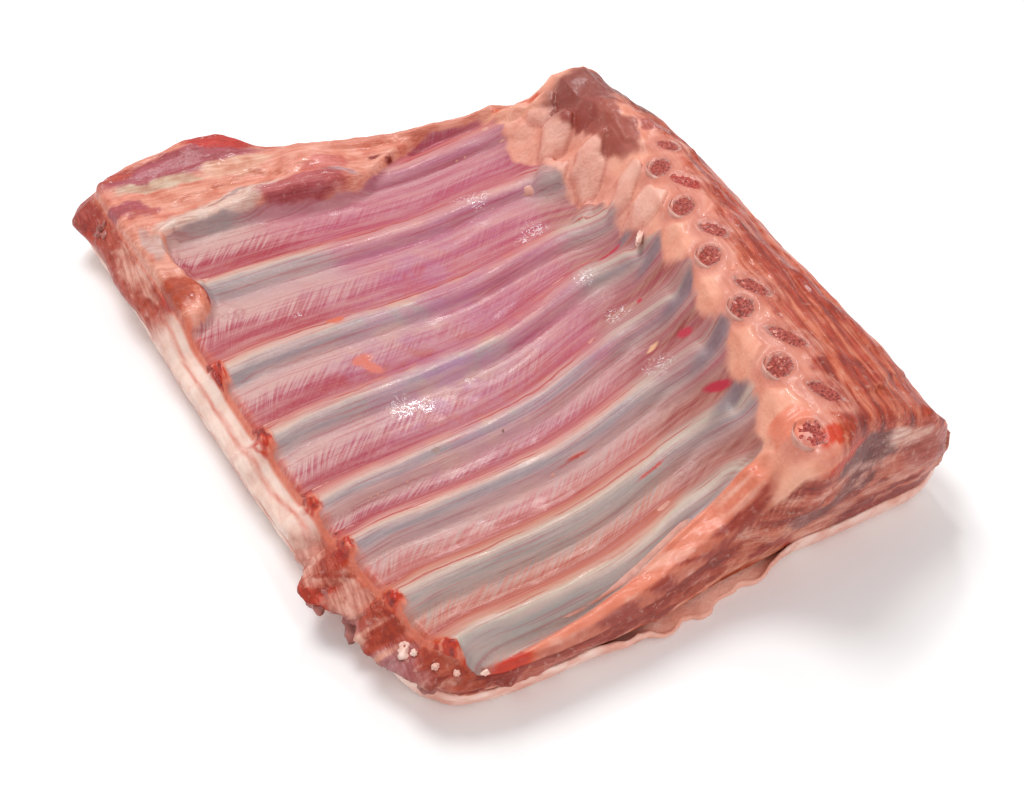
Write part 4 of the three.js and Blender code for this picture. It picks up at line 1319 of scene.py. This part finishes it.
def fat_cover():
    """The cover of fat: a sheet under the meat whose rim turns up round it, wavy and uneven, and lies out as
    a ragged flap on the near side."""
    across = stations(FAT_ACROSS_CELLS, FAT_ACROSS_CROWDING)
    u, v = np.meshgrid(across, stations(FAT_LONG_CELLS, FAT_LONG_CROWDING), indexing="ij")
    columns = under_columns(FAT_ACROSS_CELLS, FAT_UNDER_CELLS)
    faces, i, j = block_faces(FAT_ACROSS_CELLS, FAT_LONG_CELLS, FAT_WALL_ROWS, columns)
    x, y, d = plan_points(u, v)
    loose = loose_share(x) * smooth(LOOSE_ROOT, 0, d["near"])
    under = drop_at(d, UNDER_ROUND) * (1 - loose)
    torn = 0.75 + 0.4 * layered(x / 7, 0, 0, 101)
    rim = np.minimum.reduce([d["left"], d["right"], d["near"], d["far"]])
    edge = smooth(3, 0, rim) * (1 - loose)
    thickness = lerp(FAT_THICKNESS - FAT_GAP, LOOSE_THICKNESS * (1 + 0.4 * noise(x / 4, 0, 0, 103)), loose)
    top = under + thickness + edge * (0.8 + 0.9 * layered(x / 9, y / 9, 0, 105))
    top = top + 0.5 * loose * layered(x / 5, y / 5, 0, 111)
    y = y - LOOSE_REACH * loose * torn
    rim_x, rim_y = x[i, j], y[i, j]
    out_x, out_y = outward(rim_x, rim_y)
    points = [np.stack([x, y, top], -1).reshape(-1, 3)]
    for w in np.linspace(1, 0, FAT_WALL_ROWS + 1)[1:]:
        z = lerp(under[i, j], top[i, j], w)
        swell = (0.6 + 0.4 * layered(rim_x / 5, rim_y / 5, w, 107)) * math.sin(math.pi * w)
        points.append(np.stack([rim_x + out_x * swell, rim_y + out_y * swell, z], -1))
    points.append(np.stack([x, y, under], -1)[columns[1:-1], 1:-1].reshape(-1, 3))
    points = np.vstack(points)
    flesh = 0.1 + 0.3 * layered(points[:, 0] / 14, points[:, 1] / 14, points[:, 2] / 2, 109)
    below = loose[columns[1:-1], 1:-1]
    rosy = np.concatenate([loose.ravel(), np.tile(loose[i, j], FAT_WALL_ROWS), below.ravel()])
    return points, faces, {"flesh": flesh, "rosy": FLAP_ROSY * rosy}


# Lumps and scraps: name, x, y, height of the middle, three half sizes, turn in degrees, roughness and flesh.
SCRAPS = (
    ("crest_shred", 56.5, 38, 38.5, 3.4, 1.1, 1.4, 55, 0.3, 0.1),
    ("loose_lump_1", -69.5, -41, 10, 4.0, 5.5, 5.0, 10, 0.45, 0.75),
    ("loose_lump_2", -62, -52, 8, 3.4, 5.5, 4.5, 0, 0.45, 0.7),
    ("loose_lump_3", -57, -61, 8, 4.0, 4.5, 5.0, 20, 0.45, 0.65),
    ("loose_lump_4", -53, -68, 13, 3.4, 3.4, 3.0, 0, 0.4, 0.3),
    ("loose_lump_5", -49, -75, 9, 3.8, 3.6, 4.6, 0, 0.35, 0.5),
    ("wall_lump_1", -102, 130, 15, 3.0, 6.5, 5.0, -15, 0.45, 0.7),
    ("wall_lump_2", -99, 112, 11, 2.6, 5.5, 4.2, -15, 0.45, 0.6),
    ("fat_crumb_1", -48.5, -77.5, 17.0, 1.1, 0.9, 1.0, 0, 0.4, 0.0),
    ("fat_crumb_2", -44.0, -81.0, 17.0, 0.8, 1.0, 0.8, 0, 0.4, 0.0),
    ("fat_crumb_3", -37.7, -84.0, 18.0, 1.0, 0.7, 0.8, 0, 0.4, 0.0),
    ("fat_crumb_4", -52.0, -71.5, 16.5, 0.9, 0.8, 0.9, 0, 0.4, 0.0),
    ("fat_crumb_5", -46.0, -80.0, 12.0, 0.9, 0.7, 0.8, 0, 0.4, 0.0),
)
SCRAP_RINGS = 26
SCRAP_SIDES = 36


def scrap(x, y, z, half_x, half_y, half_z, turn, rough, flesh, seed):
    """A lump: an ellipsoid whose radius is changed by noise, closed at both poles, turned about Z."""
    polar = np.linspace(0, np.pi, SCRAP_RINGS + 1)[1:-1, None]
    angle = np.linspace(0, 2 * np.pi, SCRAP_SIDES, endpoint=False)[None, :]
    level = np.sin(polar)
    ways = np.broadcast_arrays(level * np.cos(angle), level * np.sin(angle), np.cos(polar))
    ways = np.vstack([[[0, 0, 1.0]], np.stack(ways, -1).reshape(-1, 3), [[0, 0, -1.0]]])
    swell = 1 + rough * layered(ways[:, 0] * 1.6 + seed, ways[:, 1] * 1.6, ways[:, 2] * 1.6, 301)
    local = ways * swell[:, None] * (half_x, half_y, half_z)
    cos, sin = math.cos(math.radians(turn)), math.sin(math.radians(turn))
    along, aside, height = local.T
    points = np.stack([along * cos - aside * sin, along * sin + aside * cos, height], -1)
    rings = 1 + np.arange((SCRAP_RINGS - 1) * SCRAP_SIDES).reshape(-1, SCRAP_SIDES)
    turned = np.roll(rings, -1, 1)
    quads = np.stack([rings[:-1], rings[1:], turned[1:], turned[:-1]], -1).reshape(-1, 4)
    pole = len(points) - 1
    top = np.stack([np.zeros(SCRAP_SIDES, int), rings[0], turned[0]], -1)
    bottom = np.stack([np.full(SCRAP_SIDES, pole), turned[-1], rings[-1]], -1)
    faces = quads.tolist() + top.tolist() + bottom.tolist()
    return points + (x, y, z), faces, {"flesh": np.full(len(points), flesh) + 0.15 * swell - 0.15}


def dress(piece, material, slot, *nodes):
    """Gives a finished piece its material and its body, and hides the nodes that it stands for. The slot is
    not used.
    """
    piece.data.materials.append(material)
    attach(piece, BODY)
    if nodes:
        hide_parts(*nodes)
    return piece


class MeatSettings(bpy.types.PropertyGroup):
    """The look of the skin in the hollow and of the flesh round it."""

    skin_richness: FloatProperty(
        name="Skin richness", description="Saturation of the hollow's bands", default=1.3, min=0, max=2
    )
    skin_brightness: FloatProperty(
        name="Skin brightness", description="Brightness of the hollow's bands", default=0.76, min=0, max=2
    )
    flesh_richness: FloatProperty(
        name="Flesh richness", description="Saturation of muscle and fat", default=1.18, min=0, max=2
    )
    flesh_brightness: FloatProperty(
        name="Flesh brightness", description="Brightness of muscle and fat", default=0.93, min=0, max=2
    )
    gloss: FloatProperty(name="Gloss", description="How wet the meat looks", default=1.0, min=0, max=4)
    relief: FloatProperty(
        name="Relief", description="Depth of the fine relief", default=0.0006, unit="LENGTH", precision=5
    )


class BoneSettings(bpy.types.PropertyGroup):
    """The colours of the bones."""

    bone: FloatVectorProperty(
        name="Bone", description="Colour of the bones outside", default=srgb("e6ac9c")[:3], subtype="COLOR"
    )
    marrow: FloatVectorProperty(
        name="Marrow", description="Colour of the sawn marrow", default=srgb("d46e60")[:3], subtype="COLOR"
    )


class FatSettings(bpy.types.PropertyGroup):
    """The colours of the cover of fat."""

    pale: FloatVectorProperty(
        name="Pale fat", description="Lightest colour of the fat", default=srgb("fad8ca")[:3], subtype="COLOR"
    )
    deep: FloatVectorProperty(
        name="Deep fat", description="Darkest colour of the fat", default=srgb("e39b87")[:3], subtype="COLOR"
    )


class StageSettings(bpy.types.PropertyGroup):
    """The light and the table."""

    key: FloatProperty(name="Key light", description="Power of the softbox", default=5.2, unit="POWER")
    glint: FloatProperty(name="Glint light", description="Power of the small lamp", default=1.2, unit="POWER")
    fill: FloatProperty(name="Fill light", description="Power of the low lamp", default=1.6, unit="POWER")
    sky: FloatProperty(name="Sky", description="Strength of the even white surroundings", default=0.64, min=0)
    table: FloatVectorProperty(
        name="Table", description="Colour of the table", default=(1.0, 1.0, 1.0), subtype="COLOR"
    )


class RACK_OT_ribs(bpy.types.Operator):
    """Adds the eight rib bones, which show at their sawn ends and heads"""

    bl_idname = "rack.ribs"
    bl_label = "Rib Bones"

    def execute(self, context):
        material = rib_material(context.scene.rack_bone)
        for k in range(RIBS):
            dress(write_mesh(f"rack_rib_{k + 1}", *rib_bone(k)), material, "rib_bone", f"rib_{k + 1}")
        return {"FINISHED"}


class RACK_OT_chine(bpy.types.Operator):
    """Adds the slices of backbone in the sawn face"""

    bl_idname = "rack.chine"
    bl_label = "Backbone Slices"

    def execute(self, context):
        material = rib_material(context.scene.rack_bone)
        for index in range(len(CHINE_BONES)):
            piece = write_mesh(f"rack_chine_{index + 1}", *chine_bone(index))
            dress(piece, material, "chine_bone", f"chine_bone_{index + 1}")
        return {"FINISHED"}


class RACK_OT_meat(bpy.types.Operator):
    """Adds the meat with the skinned ribs, the crest, the sawn face and the torn walls"""

    bl_idname = "rack.meat"
    bl_label = "Meat"

    def execute(self, context):
        material = raw_meat_material(context.scene.rack_meat)
        dress(write_mesh("rack_meat", *meat_skin()), material, "meat", "meat")
        return {"FINISHED"}


class RACK_OT_fat(bpy.types.Operator):
    """Adds the cover of fat under the meat, with its loose flap, and the lumps and scraps"""

    bl_idname = "rack.fat"
    bl_label = "Fat and Scraps"

    def execute(self, context):
        material = fat_material(context.scene.rack_fat)
        dress(write_mesh("rack_fat_cover", *fat_cover()), material, "fat_cover", "fat_cover")
        for seed, (name, *sizes) in enumerate(SCRAPS):
            dress(write_mesh(f"rack_{name}", *scrap(*sizes, seed * 3.7)), material, "fat_cover")
        return {"FINISHED"}


CAMERA_TURN = math.radians(-20)
CAMERA_TILT = math.radians(45)
CAMERA_DISTANCE = 0.3829
CAMERA_TARGET = (0, 0, 0.02)
SENSOR_WIDTH = 36
IMAGE_WIDTH = 1024
FOCAL_PIXELS = 1300
CLIP_START = 0.01
TABLE_REACH = 4000
TABLE_ROUGHNESS = 0.9
# Lamps round the rack: place and size in metres.
LAMPS = {
    "key": ((-0.15, 0.45, 0.95), 0.45),
    "glint": ((0.22, 0.6, 0.72), 0.12),
    "fill": ((0.4, -0.8, 0.4), 0.5),
}


class RACK_OT_stage(bpy.types.Operator):
    """Adds the white table, the soft light and the camera"""

    bl_idname = "rack.stage"
    bl_label = "Stage"

    def execute(self, context):
        settings = context.scene.rack_stage
        self.add_table(settings.table)
        self.add_sky(context.scene, settings.sky)
        for name, (place, size) in LAMPS.items():
            self.add_light(name, place, size, getattr(settings, name))
        self.add_camera(context.scene)
        return {"FINISHED"}

    def add_table(self, colour):
        corners = TABLE_REACH * np.array([(-1, -1, 0), (1, -1, 0), (1, 1, 0), (-1, 1, 0)])
        table = write_mesh("table", corners, [(0, 1, 2, 3)])
        material, net = new_material("white_table")
        shader = net.tree.nodes["Principled BSDF"].inputs
        shader["Base Color"].default_value = (*colour, 1)
        shader["Roughness"].default_value = TABLE_ROUGHNESS
        table.data.materials.append(material)

    def add_sky(self, scene, strength):
        world = bpy.data.worlds.new("sky")
        world.use_nodes = True
        background = world.node_tree.nodes["Background"].inputs
        background["Color"].default_value = (1, 1, 1, 1)
        background["Strength"].default_value = strength
        scene.world = world
        scene.view_settings.view_transform = "Standard"

    def add_camera(self, scene):
        camera = bpy.data.objects.new("camera", bpy.data.cameras.new("camera"))
        back = Vector((
            math.sin(CAMERA_TURN) * math.cos(CAMERA_TILT),
            -math.cos(CAMERA_TURN) * math.cos(CAMERA_TILT),
            math.sin(CAMERA_TILT),
        ))
        camera.location = Vector(CAMERA_TARGET) + back * CAMERA_DISTANCE
        camera.rotation_euler = back.to_track_quat("Z", "Y").to_euler()
        camera.data.sensor_width = SENSOR_WIDTH
        camera.data.lens = SENSOR_WIDTH * FOCAL_PIXELS / IMAGE_WIDTH
        camera.data.clip_start = CLIP_START
        scene.collection.objects.link(camera)
        scene.camera = camera

    def add_light(self, name, place, size, power):
        light = bpy.data.lights.new(name, "AREA")
        light.shape = "DISK"
        light.size = size
        light.energy = power
        lamp = bpy.data.objects.new(name, light)
        lamp.location = place
        lamp.rotation_euler = (Vector(place) - Vector(CAMERA_TARGET)).to_track_quat("Z", "Y").to_euler()
        bpy.context.scene.collection.objects.link(lamp)


class RACK_PT_panel(bpy.types.Panel):
    """Lists the rack's pieces"""

    bl_label = "Lamb Rack"
    bl_idname = "RACK_PT_panel"
    bl_space_type = "VIEW_3D"
    bl_region_type = "UI"
    bl_category = "Lamb Rack"

    def draw(self, context):
        for operator in OPERATORS:
            self.layout.operator(operator.bl_idname)
        for key, kind in SETTINGS.items():
            for name in kind.__annotations__:
                self.layout.prop(getattr(context.scene, key), name)


SETTINGS = {
    "rack_meat": MeatSettings,
    "rack_bone": BoneSettings,
    "rack_fat": FatSettings,
    "rack_stage": StageSettings,
}
OPERATORS = (RACK_OT_stage, RACK_OT_meat, RACK_OT_ribs, RACK_OT_chine, RACK_OT_fat)
CLASSES = (*SETTINGS.values(), *OPERATORS, RACK_PT_panel)


def register():
    for item in CLASSES:
        bpy.utils.register_class(item)
    for key, kind in SETTINGS.items():
        setattr(bpy.types.Scene, key, PointerProperty(type=kind))


def unregister():
    for key in SETTINGS:
        delattr(bpy.types.Scene, key)
    for item in reversed(CLASSES):
        bpy.utils.unregister_class(item)


def main():
    register()
    bpy.ops.rack.stage()
    bpy.ops.rack.meat()
    bpy.ops.rack.ribs()
    bpy.ops.rack.chine()
    bpy.ops.rack.fat()


if __name__ == "__main__":
    main()
